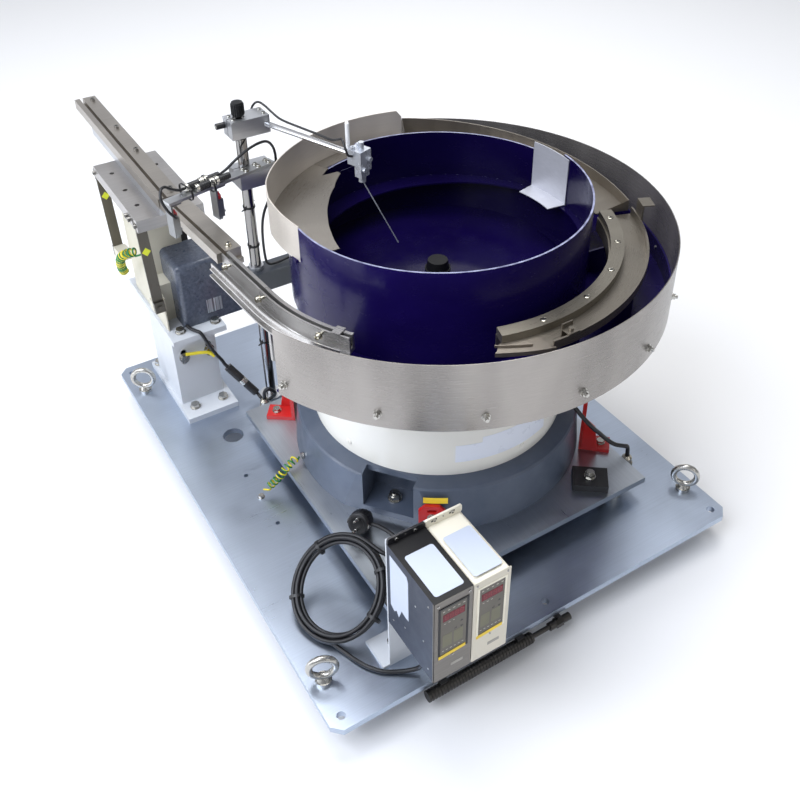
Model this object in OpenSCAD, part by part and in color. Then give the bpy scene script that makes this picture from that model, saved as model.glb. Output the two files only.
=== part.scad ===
// Vibratory bowl feeder on a steel base plate: bowl drive with a coated
// bowl and return pan, linear feeder with its rail, sensor post and
// controllers. All sizes in millimetres.
//
// Layout frame: x runs right from the plate's left edge, y runs back from
// its front edge and z runs up from its top face. place() moves that frame
// to the part's own origin, at the middle of its footprint on the floor.

/* [Base plate] */
// Width of the base plate
plate_w = 800; // [760:1:900]
// Depth of the base plate
plate_d = 980; // [960:1:1100]
// Thickness of the base plate
plate_t = 12; // [8:1:20]
// Chamfer on the plate's corners
plate_chamfer = 15; // [0:1:18]
// Height of the plate's underside above the floor
stand_h = 50; // [40:1:90]
// Diameter of the fixing holes
fix_hole_d = 14; // [9:1:18]
// Distance of the fixing holes from the plate's edges
fix_inset = 22.5; // [18:0.5:30]
// Diameter of the cable hole
cable_hole_d = 40; // [25:1:60]
// Outer diameter of the lifting eyes
eye_d = 52; // [40:1:60]
// Thickness of the lifting eyes
eye_bar = 11; // [8:1:14]
// Diameter of a levelling foot's pad
foot_d = 60; // [40:1:80]

/* [Bowl drive] */
// Bowl axis from the plate's left edge
bowl_x = 458; // [450:1:480]
// Bowl axis from the plate's front edge
bowl_y = 434.5; // [425:0.5:445]
// Width of the raised drive plate
drive_plate_w = 536; // [520:1:560]
// Depth of the raised drive plate
drive_plate_d = 548; // [530:1:580]
// Thickness of the raised drive plate
drive_plate_t = 12; // [8:1:16]
// Height of the spacers under the drive plate
spacer_h = 36; // [25:1:50]
// Radius of the cast drive base at its foot
cast_r = 268; // [262:1:272]
// Height of the cast drive base
cast_h = 90; // [80:1:100]
// Radius of the cylindrical drive cover
cover_r = 229; // [215:1:234]
// Height of the drive cover
cover_h = 225; // [210:1:245]
// Wall of the drive cover
cover_t = 3; // [2:0.5:5]
// Thickness of the vibrating top disc
disc_t = 18; // [12:1:24]
// Air gap between magnet and armature
magnet_gap = 2; // [1:0.5:4]
// Width of a leaf spring pack
leaf_w = 56; // [40:1:60]
// Thickness of a leaf spring pack
leaf_t = 12; // [8:1:16]
// Lean of the leaf spring packs
leaf_lean = 15; // [10:1:20]

/* [Bowl] */
// Outer radius of the bowl wall
bowl_r = 250; // [244:1:256]
// Height of the bowl wall at the front, from the bowl's underside
wall_h = 173; // [160:1:190]
// Thickness of the bowl's sheet
bowl_t = 3; // [2:0.5:4]
// Outer radius of the return pan's skirt
skirt_r = 389; // [384:1:396]
// Height of the skirt
skirt_h = 112; // [90:1:130]
// Thickness of the skirt
skirt_t = 1.5; // [1:0.5:3]
// Rise of the inner track in one turn
track_pitch = 72; // [60:1:76]
// Gap between the bowl wall and the raised spiral wall
spiral_gap = 30; // [26:1:34]
// Height of the raised spiral wall's top above the bowl's underside
spiral_top = 188; // [180:1:200]
// Height of the outlet rails above the bowl's underside
rail_rise = 95; // [90:1:100]

/* [Outlet] */
// Gap between the bowl wall and the curved outlet track
outlet_gap = 33; // [31:1:36]
// Width of the curved outlet track
outlet_w = 61; // [55:1:66]
// Distance of the outlet rail's groove from the bowl wall
groove_off = 70; // [67:1:73]
// Width of the rail's groove
groove_w = 6; // [4:0.5:8]
// Height of the outlet rail
rail_h = 30; // [24:1:34]

/* [Linear feeder] */
// Length of the linear rail
linear_l = 518; // [400:1:600]
// Centre line of the linear rail from the plate's left edge
linear_x = 112; // [108:1:116]
// Front end of the linear feeder from the plate's front edge
linear_y = 803; // [798:1:810]
// Width of the vibrating top block
block_w = 128; // [120:1:132]
// Length of the vibrating top block
block_l = 258; // [240:1:270]
// Thickness of the vibrating top block
block_t = 24; // [18:1:30]
// Width of a linear feeder leaf spring
strip_w = 20; // [14:1:24]
// Thickness of a linear feeder leaf spring
strip_t = 4; // [3:0.5:6]
// Width of the stand column
column_w = 88; // [76:1:94]
// Width of the stand's flanges
flange_w = 106; // [102:1:112]
// Thickness of the stand's flanges
flange_t = 12; // [8:1:16]

/* [Sensor post] */
// Diameter of the post
post_d = 20; // [16:1:22]
// Height of the post above the plate
post_h = 630; // [612:1:660]
// Diameter of the arm rod
rod_d = 10; // [8:1:12]
// Length of the arm rod
rod_l = 250; // [230:1:270]
// Height of the flat sensor arm above the rails
arm_rise = 55; // [50:1:60]

/* [Controllers] */
// Width of one controller
ctrl_w = 62; // [54:1:64]
// Depth of one controller
ctrl_d = 120; // [110:1:124]
// Height of one controller
ctrl_h = 170; // [160:1:180]

/* [Hidden] */
$fn = 64;
fit = 0.3;            // gap between curved faces that meet
hole_fit = 0.6;       // a clearance hole's diameter above its screw's

// Heights above the base plate's top face
floor_z = -plate_t - stand_h;
dp_top = spacer_h + drive_plate_t;
cast_top = dp_top + cast_h;
cover_top = cast_top + cover_h;
disc_gap = 4;
bowl_z = cover_top + disc_gap + disc_t;
rim_z = bowl_z + wall_h;
rails_z = bowl_z + rail_rise;
spiral_z = bowl_z + spiral_top;

// Raised drive plate and the casting on it
dp_x = 160;
dp_y = 112;
dp_x1 = dp_x + drive_plate_w;
dp_y1 = dp_y + drive_plate_d;
spacer_d = 40;
spacer_inset = 40;
spacer_spots = [for (x = [dp_x + spacer_inset, dp_x1 - spacer_inset],
    y = [dp_y + spacer_inset, (dp_y + dp_y1) / 2, dp_y1 - spacer_inset]) [x, y]];
spacer_screw = 10;
cast_top_r = cast_r - 8;
pocket_angles = [-142, -22, 98];
pocket_w = 92;
pocket_in = 196;
pocket_floor = dp_top + 14;
stud_r = 222.7;       // pitch radius of the casting's foot studs
stud_d = 12;
pedestal_r = 60;
pedestal_h = 32;
magnet_h = 60;
magnet_z = cast_top + pedestal_h;
armature_z = magnet_z + magnet_h + magnet_gap;
armature_h = 12;
hub_r = 45;
disc_r = 215;
spring_count = 4;
spring_r = 150;       // radius at which the spring packs stand
spring_z = cast_top + 6;
spring_l = cover_top - cast_top - 8;
lug_t = 24;
lug_gap = 0.9;        // free play left at the upper spring lugs

// Bowl, return pan and tracks
wall_in = bowl_r - bowl_t;
spiral_r = bowl_r + spiral_gap;
outlet_r = bowl_r + outlet_gap;
groove_r = bowl_r + groove_off;
cone_z = bowl_z + 17;
pan_r = skirt_r - skirt_t - fit;
pan_a0 = -180;
pan_a1 = 80;
pan_lip_z = bowl_z + 40;
skirt_a0 = -160;
skirt_z = bowl_z + 6.7;
skirt_screw_z = bowl_z + 25;
skirt_screw_step = 22.3;
skirt_screw_n = 11;
skirt_screw_d = 6;
track_z60 = bowl_z + 68;
track_start = 366;
track_end = -170;
spiral_a0 = 190;      // where the raised wall leaves the bowl wall
spiral_a1 = 71;
sheet = 2;
ring_a0 = 70;
ring_a1 = -19;
outlet_a0 = -20;
outlet_a1 = -95;
outlet_inner_a1 = -106;
strip_r1 = outlet_r + 22;
outlet_r1 = outlet_r + outlet_w;
outlet_floor = rails_z - 13;
strip_screw_angles = [-25, -40, -57, -74, -92];
rib_angles = [-30, -58, -86];

// Outlet rail on the left of the bowl
rail_a0 = -146;
groove_in = groove_r - groove_w / 2;
groove_out = groove_r + groove_w / 2;
rail_z0 = rails_z - rail_h;
rail_straight = 149;
rail_gap = 3;
guide_start = rail_straight + rail_gap;

// Linear feeder
block_z1 = rails_z - 40;
block_z0 = block_z1 - block_t;
block_x0 = linear_x - 56;
block_x1 = block_x0 + block_w;
block_y1 = linear_y + block_l;
linear_rail_y0 = linear_y - 15;
// The straight rails run from the bowl to this gap before the linear rail,
// with their groove in line with its groove there
rail_end_gap = 4.5;
guide_dx = bowl_x - linear_x;
guide_dy = linear_rail_y0 - rail_end_gap - bowl_y;
guide_run = sqrt(guide_dx ^ 2 + guide_dy ^ 2 - groove_r ^ 2);
guide_slant = atan2(guide_run, groove_r) - atan2(guide_dy, guide_dx);
guide_l = guide_run - guide_start;
rail_a1 = guide_slant - 180;
bar_l = 400;
spring_run = 190;     // height of the linear feeder's leaf springs
lin_lean = 8.3;
lin_play = 1.5;
stand_top = 178;
stand_x = 74;
stand_y = 775;
stand_y1 = 1040;
column_y0 = 789;
column_y1 = 925;
foot_x = 67;
foot_y0 = 737;
foot_y1 = 956;
stand_bolts = [[foot_x + 26, foot_y0 + 31], [foot_x + flange_w - 21, foot_y0 + 28],
    [foot_x + 13, foot_y1 - 14], [foot_x + flange_w - 13, foot_y1 - 14]];
top_bolts = [[99, 801], [170, 797], [170, 1022]];
bolt_d = 10;
box_x0 = linear_x;
box_x1 = box_x0 + 128;
box_y0 = 806;
box_y1 = 920;
box_h = 132;

// Sensor post
post_x = 242;
post_y = 725;
beam_z = 280;
beam_s = 40;
arm_z = rails_z + arm_rise;
rod_z = rails_z + 130;
rod_turn = -69.3;     // direction of the arm rod in plan
rod_x = post_x + 34;
rod_y = post_y + 2;

// Controllers
ctrl_x = 126;
ctrl_back = 58;
ctrl_z = 110;
bracket_t = 3;
ctrl_y0 = ctrl_back - bracket_t - ctrl_d;

// Footprint: base plate, skirt screws, controllers and linear rail
screw_out = 10;       // how far the skirt's screws stand out
x_max = bowl_x + skirt_r + screw_out;
y_max = linear_rail_y0 + linear_l;
panel_t = 1.5;        // how far a controller's front frame stands out
y_min = ctrl_y0 - panel_t;
mid_x = x_max / 2;
mid_y = (y_min + y_max) / 2;

// Spots on the base plate
eye_in = 27.5;
eye_spots = [[eye_in, 87, 0], [plate_w - eye_in, 87, 0], [eye_in, plate_d - 93, 0],
    [plate_w - eye_in, plate_d - 93, 0]];
eye_turns = [-20, -48, -30, -45];
foot_stud = 14;
foot_inset = 100;
foot_spots = [for (x = [foot_inset, plate_w - foot_inset], y = [foot_inset, plate_d - foot_inset])
    [x, y]];
gland_d = 16;
gland_bore = 8.6;
gland_spots = [[211, 685], [714, 178]];

// Brackets and clamp on the drive plate
bracket_angles = [-44, 143];
bracket_r = cast_r + 4;
bracket_bolt_r = bracket_r + 39;
front_bracket_a = -124.6;
front_plate_r = cast_r + fit;
clamp_x = 603;
clamp_y = 157;
cover_screws = [-84, -164, 36, 96];

// Angles of the bowl's fasteners
skirt_angles = [for (i = [0 : skirt_screw_n - 1]) skirt_a0 + 2 + i * skirt_screw_step];
rail_screw_angles = [-150, -162, -172];
rail_feet = [-150, -170];
spiral_low = 113;

// Linear feeder
slot_x = [94, 146];
front_spring_y = linear_y + 22;
mid_spring_y = linear_y + 157;
spring_top_z = block_z1 - 10;
// x and y of each leaf spring's top; z is -1 with its clamps in front, 1 behind
spring_spots = [[block_x0 + 1, front_spring_y, -1], [block_x0 + 1, block_y1 + 3.5, 1],
    [block_x1 - strip_w + 1, mid_spring_y, -1], [block_x1 - strip_w + 1, block_y1 + 3.5, 1]];
base_x0 = 80;
base_x1 = 158;
base_y0 = 815;
base_y1 = 1006;
block_holes = [[78, 862], [78, 930], [78, 1010], [164, 862], [164, 1000]];
linear_lug = [92, 1025, stand_top];
base_lug = [106, 481, 0];
base_earth_a = 171.7;
base_earth_z = 66;

// Sensor arms
arm_t = 5;
arm_l = 172;
arm_off = post_d / 2 + 11;
arm_turn = 12;
sensor_spots = [-162, -74];
wire_turn = 42.3;
wire_tilt = -25;
wire_l = 134;

// Cords: round-number routes, from the fixed end to the free one
plug_a = [172, 768, 82];
plug_tilt = 137.8;
plug_turn = -42.8;
coil_c = [112, 186, 54];
coil_r = 76;
coil_s = 9;
coil_tilt = -36;
coil_turn = 22;
lead_d = 7;
mains_plug_c = [201, 272, 76];
lead_pts = [[70, 128, 4], [75, 116, 4], [83, 94, 4], [94, 70, 5], [110, 50, 5],
    [132, 36, 5], [154, 24, 10], [160, 18, 24], [161, 16, 48], [160, 14, 80], [158, 12, 110]];
linear_pts_a = [[114, 805, 185], [118, 792, 184], [123, 782, 184], [130, 771, 181], [141, 768, 150],
    [152, 769, 123], [163, 772, 101], [168, 771.7, 88], [172, 768, 82]];
linear_pts_b = [[211.92, 731.04, 21.99], [214.4, 728.7, 18.3], [216, 720, 15], [217, 711, 15],
    [223, 702, 18], [232, 694, 28],
    [234, 684, 44], [227, 680, 58], [218, 681, 64], [212, 684, 56], [211, 685, 42]];
drive_pts = [[607, 256, 200], [612, 244, 182], [621, 228, 158], [637, 206, 130], [655, 198, 108],
    [669, 193, 91], [683, 184, 78], [700, 178, 70], [711, 178, 62], [714, 178, 42]];
sensor_pts_a = [[117, 684, 544], [106, 680, 546], [92, 676, 554], [80, 670, 564], [70, 660, 564],
    [66, 650, 552], [72, 646, 534], [82, 650, 518], [88, 658, 510], [89, 666, 510]];
sensor_pts_b = [[185, 698, 544], [200, 700, 550], [218, 700, 562], [240, 700, 574], [264, 706, 578],
    [286, 716, 572], [300, 724, 552], [302, 724, 526], [294, 720, 496], [278, 714, 464],
    [262, 710, 436], [256, 710, 400], [256, 710, 350], [262, 712, 330], [280, 714, 325],
    [310, 716, 328], [326, 718, 328], [335, 719, 324], [337, 719, 314]];
level_pts = [[250, 745, 590], [262, 747, 598], [272, 749, 612], [280, 750, 628], [287, 742, 636],
    [292, 726, 634], [296, 706, 628], [302, 682, 622], [317, 640, 620], [330, 600, 620],
    [336, 568, 622], [336, 544, 632], [334, 526, 640], [332, 513, 632], [335, 510, 619],
    [343, 511, 614]];
plug_pts = [[213, 257, 76], [221, 246, 75], [230, 229, 72], [235, 208, 70], [234, 187, 73],
    [226, 171, 79], [211, 165, 87], [197, 170, 94], [186, 180, 100]];
earth_base_pts = [[185, 474, 66], [174, 470, 69], [158, 466, 63], [142, 468, 46], [126, 474, 28],
    [112, 480, 17]];
earth_linear_pts = [[80, 868, 337], [69, 868, 337], [57, 880, 335], [46, 902, 322], [42, 926, 300], [46, 952, 270],
    [54, 980, 240], [64, 1004, 216]];
edge_hole = [402, 23];
edge_hole_d = 13;
cable_hole = [128, 661];
spare_holes = [[104, 408], [104, 546]];
spare_hole_d = 8;
conduit_x = 155;
conduit_y = -5;
conduit_z = -26;
conduit_l = 200;

module place() {
    translate([-mid_x, -mid_y, -floor_z]) children();
}

module on_bowl() {
    place() translate([bowl_x, bowl_y, 0]) children();
}

// A box between two corners
module slab(a, b) {
    translate(a) cube(b - a);
}

// Part of a ring between radii r0 and r1, heights z0 and z1, angles a0 < a1
module arc_wall(r0, r1, z0, z1, a0, a1) {
    rotate([0, 0, a0]) rotate_extrude(angle = a1 - a0, $fn = 180)
        translate([r0, z0]) square([r1 - r0, z1 - z0]);
}

// Rectangle with rounded corners, from exact arcs
module round_rect(w, h, r) {
    translate([r, 0]) square([w - 2 * r, h]);
    translate([0, r]) square([w, h - 2 * r]);
    for (x = [r, w - r], y = [r, h - r]) translate([x, y]) circle(r, $fn = 32);
}

// Box with every edge rounded
module round_box(s, r) {
    intersection() {
        linear_extrude(s.z) round_rect(s.x, s.y, r);
        translate([0, s.y, 0]) rotate([90, 0, 0]) linear_extrude(s.y) round_rect(s.x, s.z, r);
        rotate([90, 0, 90]) linear_extrude(s.x) round_rect(s.y, s.z, r);
    }
}

// Hexagon head with washer above z = 0 and a shank below it
module hex_bolt(d, shank) {
    cylinder(d = 2.1 * d, h = 0.2 * d);
    translate([0, 0, 0.2 * d]) cylinder(d = 1.85 * d, h = 0.65 * d, $fn = 6);
    translate([0, 0, -shank]) cylinder(d = d, h = shank + 0.2 * d);
}

// Socket head screw above z = 0
module cap_screw(d, shank) {
    difference() {
        cylinder(d = 1.6 * d, h = d);
        translate([0, 0, d / 2]) cylinder(d = 0.8 * d, h = d, $fn = 6);
    }
    translate([0, 0, -shank]) cylinder(d = d, h = shank + 0.1);
}

// Nut with a stud end above z = 0
module nut_on_stud(d, shank) {
    cylinder(d = 2.1 * d, h = 0.2 * d);
    translate([0, 0, 0.2 * d]) cylinder(d = 1.85 * d, h = 0.7 * d, $fn = 6);
    translate([0, 0, 0.9 * d]) cylinder(d = 1.5 * d, h = 0.25 * d);
    translate([0, 0, -shank]) cylinder(d = d, h = shank + 1.3 * d);
}

// Points of a closed tube of radius r swept along pts
function seg(pts, i) = pts[min(i + 1, len(pts) - 1)] - pts[max(i - 1, 0)];
function side_of(t) = abs(t.z) > 0.9 * norm(t) ? [1, 0, 0] : [0, 0, 1];
function unit(v) = v / norm(v);
function ring_pts(c, t, r, n) =
    let (a = unit(cross(t, side_of(t))), b = unit(cross(a, t)))
    [for (k = [0 : n - 1]) c + r * (cos(360 * k / n) * a + sin(360 * k / n) * b)];

module tube(pts, r, n) {
    m = len(pts);
    rings = [for (i = [0 : m - 1]) each ring_pts(pts[i], seg(pts, i), r, n)];
    quads = [for (i = [0 : m - 2], k = [0 : n - 1])
        [i * n + k, i * n + (k + 1) % n, (i + 1) * n + (k + 1) % n, (i + 1) * n + k]];
    sides = [for (q = quads) each [[q[0], q[1], q[2]], [q[0], q[2], q[3]]]];
    ends = [[for (k = [n - 1 : -1 : 0]) k], [for (k = [0 : n - 1]) (m - 1) * n + k]];
    polyhedron(rings, concat(sides, ends), convexity = 6);
}

// Sheet section swept round the bowl axis; secs[i] holds the [radius, height] corners at angles[i]
// and heights [[r, z], ...] at angle a, in order round the section
module sweep_sections(secs, angles) {
    n = len(secs[0]);
    m = len(angles);
    pts = [for (i = [0 : m - 1], p = secs[i])
        [p[0] * cos(angles[i]), p[0] * sin(angles[i]), p[1]]];
    sides = [for (i = [0 : m - 2], k = [0 : n - 1])
        [i * n + k, i * n + (k + 1) % n, (i + 1) * n + (k + 1) % n, (i + 1) * n + k]];
    quads = [for (q = sides) each [[q[0], q[1], q[2]], [q[0], q[2], q[3]]]];
    ends = [[for (k = [n - 1 : -1 : 0]) k], [for (k = [0 : n - 1]) (m - 1) * n + k]];
    polyhedron(pts, concat(quads, ends), convexity = 8);
}

// Base plate and what stands on it

module base_plate() {
    w = plate_w;
    d = plate_d;
    c = plate_chamfer;
    color("lightsteelblue") place() difference() {
        translate([0, 0, -plate_t]) linear_extrude(plate_t)
            polygon([[c, 0], [w - c, 0], [w, c], [w, d - c], [w - c, d], [c, d], [0, d - c], [0, c]]);
        for (x = [fix_inset, w - fix_inset], y = [fix_inset, d - fix_inset])
            translate([x, y, -plate_t - 1]) cylinder(d = fix_hole_d, h = plate_t + 2);
        translate([edge_hole.x, edge_hole.y, -plate_t - 1]) cylinder(d = edge_hole_d, h = plate_t + 2);
        translate([cable_hole.x, cable_hole.y, -plate_t - 1]) cylinder(d = cable_hole_d, h = plate_t + 2);
        for (p = spare_holes) translate([p.x, p.y, -plate_t - 1])
            cylinder(d = spare_hole_d, h = plate_t + 2);
        translate([base_lug.x, base_lug.y, -plate_t - 1]) cylinder(d = 6 + hole_fit, h = plate_t + 2);
        for (p = eye_spots) translate([p.x, p.y, -plate_t - 1])
            cylinder(d = eye_bar + hole_fit, h = plate_t + 2);
        for (p = spacer_spots) translate([p.x, p.y, -plate_t - 1])
            cylinder(d = spacer_screw + hole_fit, h = plate_t + 2);
        for (p = stand_bolts) translate([p.x, p.y, -plate_t - 1])
            cylinder(d = bolt_d + hole_fit, h = plate_t + 2);
        for (p = foot_spots) translate([p.x, p.y, -plate_t - 1])
            cylinder(d = foot_stud + hole_fit, h = 9);
        for (p = gland_spots) translate([p.x, p.y, -plate_t - 1])
            cylinder(d = gland_d + hole_fit, h = plate_t + 2);
        for (x = [ctrl_x + 20, ctrl_x + 110]) translate([x, ctrl_back + 30, -plate_t - 1])
            cylinder(d = 6 + hole_fit, h = plate_t + 2);
    }
}

module levelling_feet() {
    color("dimgray") place() for (p = foot_spots) translate([p.x, p.y, floor_z]) {
        cylinder(d = foot_d, h = 9);
        translate([0, 0, 9]) cylinder(d1 = foot_d * 0.8, d2 = 2 * foot_stud, h = 9);
        translate([0, 0, 18]) cylinder(d = foot_stud, h = stand_h - 18 + 7);
        translate([0, 0, stand_h - 10]) cylinder(d = 1.9 * foot_stud, h = 10, $fn = 6);
    }
}

module eye_bolts() {
    ring_r = (eye_d - eye_bar) / 2;
    color("silver") place() for (i = [0 : len(eye_spots) - 1]) translate(eye_spots[i]) {
        cylinder(d = 2.4 * eye_bar, h = 6);
        translate([0, 0, -plate_t + 1]) cylinder(d = eye_bar, h = plate_t);
        translate([0, 0, 6]) cylinder(d1 = 1.9 * eye_bar, d2 = 1.2 * eye_bar, h = 6);
        translate([0, 0, 7 + eye_d / 2]) rotate([90, 0, eye_turns[i]])
            rotate_extrude() translate([ring_r, 0]) circle(d = eye_bar, $fn = 24);
    }
}

module plate_spacers() {
    color("silver") place() for (p = spacer_spots) translate([p.x, p.y, 0]) difference() {
        cylinder(d = spacer_d, h = spacer_h);
        translate([0, 0, -1]) cylinder(d = spacer_screw + hole_fit, h = 22);
    }
}

module drive_plate() {
    color("gray") place() difference() {
        slab([dp_x, dp_y, spacer_h], [dp_x1, dp_y1, dp_top]);
        for (a = pocket_angles) translate([bowl_x, bowl_y, 0]) rotate([0, 0, a])
            translate([stud_r, 0, spacer_h - 1]) cylinder(d = stud_d + hole_fit, h = drive_plate_t + 2);
        for (a = bracket_angles) translate([bowl_x, bowl_y, 0]) rotate([0, 0, a])
            translate([bracket_bolt_r, 0, spacer_h - 1]) cylinder(d = 8 + hole_fit, h = drive_plate_t + 2);
        translate([clamp_x, clamp_y, spacer_h - 1]) cylinder(d = 10 + hole_fit, h = drive_plate_t + 2);
    }
}

// Casting of the bowl drive: a tapered drum with three pockets for its
// fixing studs, a pedestal for the magnet and lugs for the springs
module drive_base() {
    color("slategray") on_bowl() difference() {
        union() {
            intersection() {
                rotate_extrude($fn = 180) polygon([[0, dp_top], [cast_r, dp_top],
                    [cast_top_r + 1, cast_top - 6], [cast_top_r - 2, cast_top - 3], [cover_r, cast_top],
                    [0, cast_top]]);
                flats = cast_r * cos(18);
                linear_extrude(cast_top + 1) difference() {
                    circle(r = cast_r + 1, $fn = 180);
                    for (a = pocket_angles) rotate([0, 0, a])
                        translate([flats, -cast_r]) square([cast_r, 2 * cast_r]);
                }
            }
            translate([0, 0, cast_top - 1]) cylinder(r = pedestal_r, h = pedestal_h + 1);
            for (i = [0 : spring_count - 1]) rotate([0, 0, 45 + 360 * i / spring_count])
                translate([spring_r, 0, spring_z]) rotate([-leaf_lean, 0, 0])
                    slab([-leaf_w / 2, leaf_t / 2, -14], [leaf_w / 2, leaf_t / 2 + lug_t, 34]);
        }
        translate([0, 0, dp_top - 1]) difference() {
            cylinder(r = 185, h = 45);
            cylinder(r = 70, h = 46);
        }
        for (a = pocket_angles) rotate([0, 0, a]) {
            slab([pocket_in, -pocket_w / 2, pocket_floor], [cast_r, pocket_w / 2, cast_top - 12]);
            slab([cover_r + 3, -pocket_w / 2, pocket_floor], [cast_r + 5, pocket_w / 2, cast_top + 5]);
            translate([stud_r, 0, dp_top - 1]) cylinder(d = stud_d + hole_fit, h = 30);
        }
        rotate([0, 0, base_earth_a]) translate([cast_r - 12, 0, base_earth_z]) rotate([0, 90, 0])
            cylinder(d = 6 + hole_fit, h = 14);
    }
}

module base_fasteners() {
    color("silver") {
        on_bowl() for (a = pocket_angles) rotate([0, 0, a])
            translate([stud_r, 0, pocket_floor]) nut_on_stud(stud_d, pocket_floor - spacer_h);
        on_bowl() for (a = bracket_angles) rotate([0, 0, a])
            translate([bracket_bolt_r, 0, dp_top + 8]) hex_bolt(8, 8 + drive_plate_t);
        on_bowl() rotate([0, 0, front_bracket_a])
            translate([front_plate_r + 6, 0, dp_top + 36]) rotate([0, 90, 0]) hex_bolt(8, 6);
        place() translate([clamp_x, clamp_y, dp_top + 14]) nut_on_stud(10, 14 + drive_plate_t);
        place() for (p = spacer_spots) translate([p.x, p.y, -plate_t]) rotate([180, 0, 0])
            cap_screw(spacer_screw, 20);
        place() for (p = stand_bolts) translate([p.x, p.y, flange_t]) hex_bolt(bolt_d, flange_t + plate_t);
        place() for (p = top_bolts) translate([p.x, p.y, stand_top]) hex_bolt(bolt_d, flange_t);
        place() for (x = slot_x) translate([x, column_y0, 126]) rotate([90, 0, 0]) hex_bolt(bolt_d, 8);
        place() for (x = [ctrl_x + 20, ctrl_x + 110]) translate([x, ctrl_back + 30, 5])
            cap_screw(6, 5 + plate_t);
        place() translate(base_lug) hex_bolt(6, plate_t);
        on_bowl() rotate([0, 0, base_earth_a]) translate([cast_r - 1, 0, base_earth_z])
            rotate([0, 90, 0]) hex_bolt(6, 8);
        place() translate(linear_lug) hex_bolt(6, flange_t);
    }
}

module drive_cover() {
    color("ivory") on_bowl() difference() {
        rotate_extrude($fn = 180) polygon([[cover_r - cover_t, cast_top], [cover_r, cast_top],
            [cover_r, cover_top], [cover_r - 12, cover_top], [cover_r - 12, cover_top - cover_t],
            [cover_r - cover_t, cover_top - cover_t]]);
        for (a = cover_screws) rotate([0, 0, a]) translate([cover_r - 10, 0, cast_top + 22])
            rotate([0, 90, 0]) cylinder(d = 6 + hole_fit, h = 20);
    }
    color("silver") on_bowl() for (a = cover_screws) rotate([0, 0, a])
        translate([cover_r, 0, cast_top + 22]) rotate([0, 90, 0]) difference() {
            union() {
                cylinder(d1 = 12, d2 = 8, h = 3);
                translate([0, 0, -8]) cylinder(d = 6, h = 8);
            }
            translate([-10, -0.8, 1.5]) cube([20, 1.6, 3]);
        }
}

module electromagnet() {
    color("darkgray") on_bowl() translate([0, 0, magnet_z]) {
        slab([-45, -35, 0], [45, 35, magnet_h]);
        slab([-58, -48, 12], [58, 48, magnet_h - 12]);
    }
}

module drive_springs() {
    color("darkslategray") on_bowl() for (i = [0 : spring_count - 1])
        rotate([0, 0, 45 + 360 * i / spring_count]) translate([spring_r, 0, spring_z])
            rotate([-leaf_lean, 0, 0]) difference() {
                slab([-leaf_w / 2, -leaf_t / 2, 0], [leaf_w / 2, leaf_t / 2, spring_l]);
                for (z = [14, spring_l - 14]) translate([0, leaf_t, z])
                    rotate([90, 0, 0]) cylinder(d = 9, h = 2 * leaf_t);
            }
}

module armature() {
    color("gray") on_bowl() slab([-45, -35, armature_z], [45, 35, armature_z + armature_h]);
}

module drive_top_disc() {
    color("silver") on_bowl() {
        translate([0, 0, bowl_z - disc_t]) cylinder(r = disc_r, h = disc_t, $fn = 180);
        translate([0, 0, armature_z + armature_h])
            cylinder(r = hub_r, h = bowl_z - disc_t - armature_z - armature_h + 1);
        for (i = [0 : spring_count - 1]) rotate([0, 0, 45 + 360 * i / spring_count])
            translate([spring_r, 0, spring_z]) rotate([-leaf_lean, 0, 0])
                slab([-leaf_w / 2, -leaf_t / 2 - lug_gap - lug_t, spring_l - 34],
                    [leaf_w / 2, -leaf_t / 2 - lug_gap, spring_l + 22]);
    }
}

// Red brackets that held the drive still in transport, backed off the bowl
module transport_brackets() {
    color("red") on_bowl() {
        for (a = bracket_angles) rotate([0, 0, a]) difference() {
            union() {
                slab([bracket_r, -17, dp_top], [bracket_r + 56, 17, dp_top + 8]);
                slab([bracket_r, -17, dp_top], [bracket_r + 7, 17, dp_top + 110]);
                translate([0, -14, 0]) rotate([90, 0, 0]) linear_extrude(6)
                    polygon([[bracket_r + 5, dp_top + 6], [bracket_r + 34, dp_top + 6],
                        [bracket_r + 26, dp_top + 58], [bracket_r + 5, dp_top + 78]]);
            }
            translate([bracket_bolt_r, 0, dp_top - 1]) cylinder(d = 8 + hole_fit, h = 12);
            for (z = [78, 96]) translate([bracket_r - 1, 5, dp_top + z])
                rotate([0, 90, 0]) cylinder(d = 8, h = 9);
        }
        rotate([0, 0, front_bracket_a]) difference() {
            translate([front_plate_r, 0, 0]) rotate([90, 0, 90]) linear_extrude(6)
                polygon([[-23, dp_top], [23, dp_top], [23, dp_top + 50], [12, dp_top + 62],
                    [-12, dp_top + 62], [-23, dp_top + 50]]);
            translate([front_plate_r - 1, 0, dp_top + 36]) rotate([0, 90, 0])
                cylinder(d = 8 + hole_fit, h = 8);
            hull() for (y = [-5, 5]) translate([front_plate_r - 1, y, dp_top + 50])
                rotate([0, 90, 0]) cylinder(d = 7, h = 8, $fn = 24);
        }
    }
}

module toe_clamp() {
    color("dimgray") place() difference() {
        translate([clamp_x, clamp_y, dp_top]) rotate([0, 0, -38])
            slab([-30, -24, 0], [32, 24, 14]);
        translate([clamp_x, clamp_y, dp_top - 1]) cylinder(d = 10 + hole_fit, h = 16);
    }
}

// Vibrating body of the bowl drive

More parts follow.
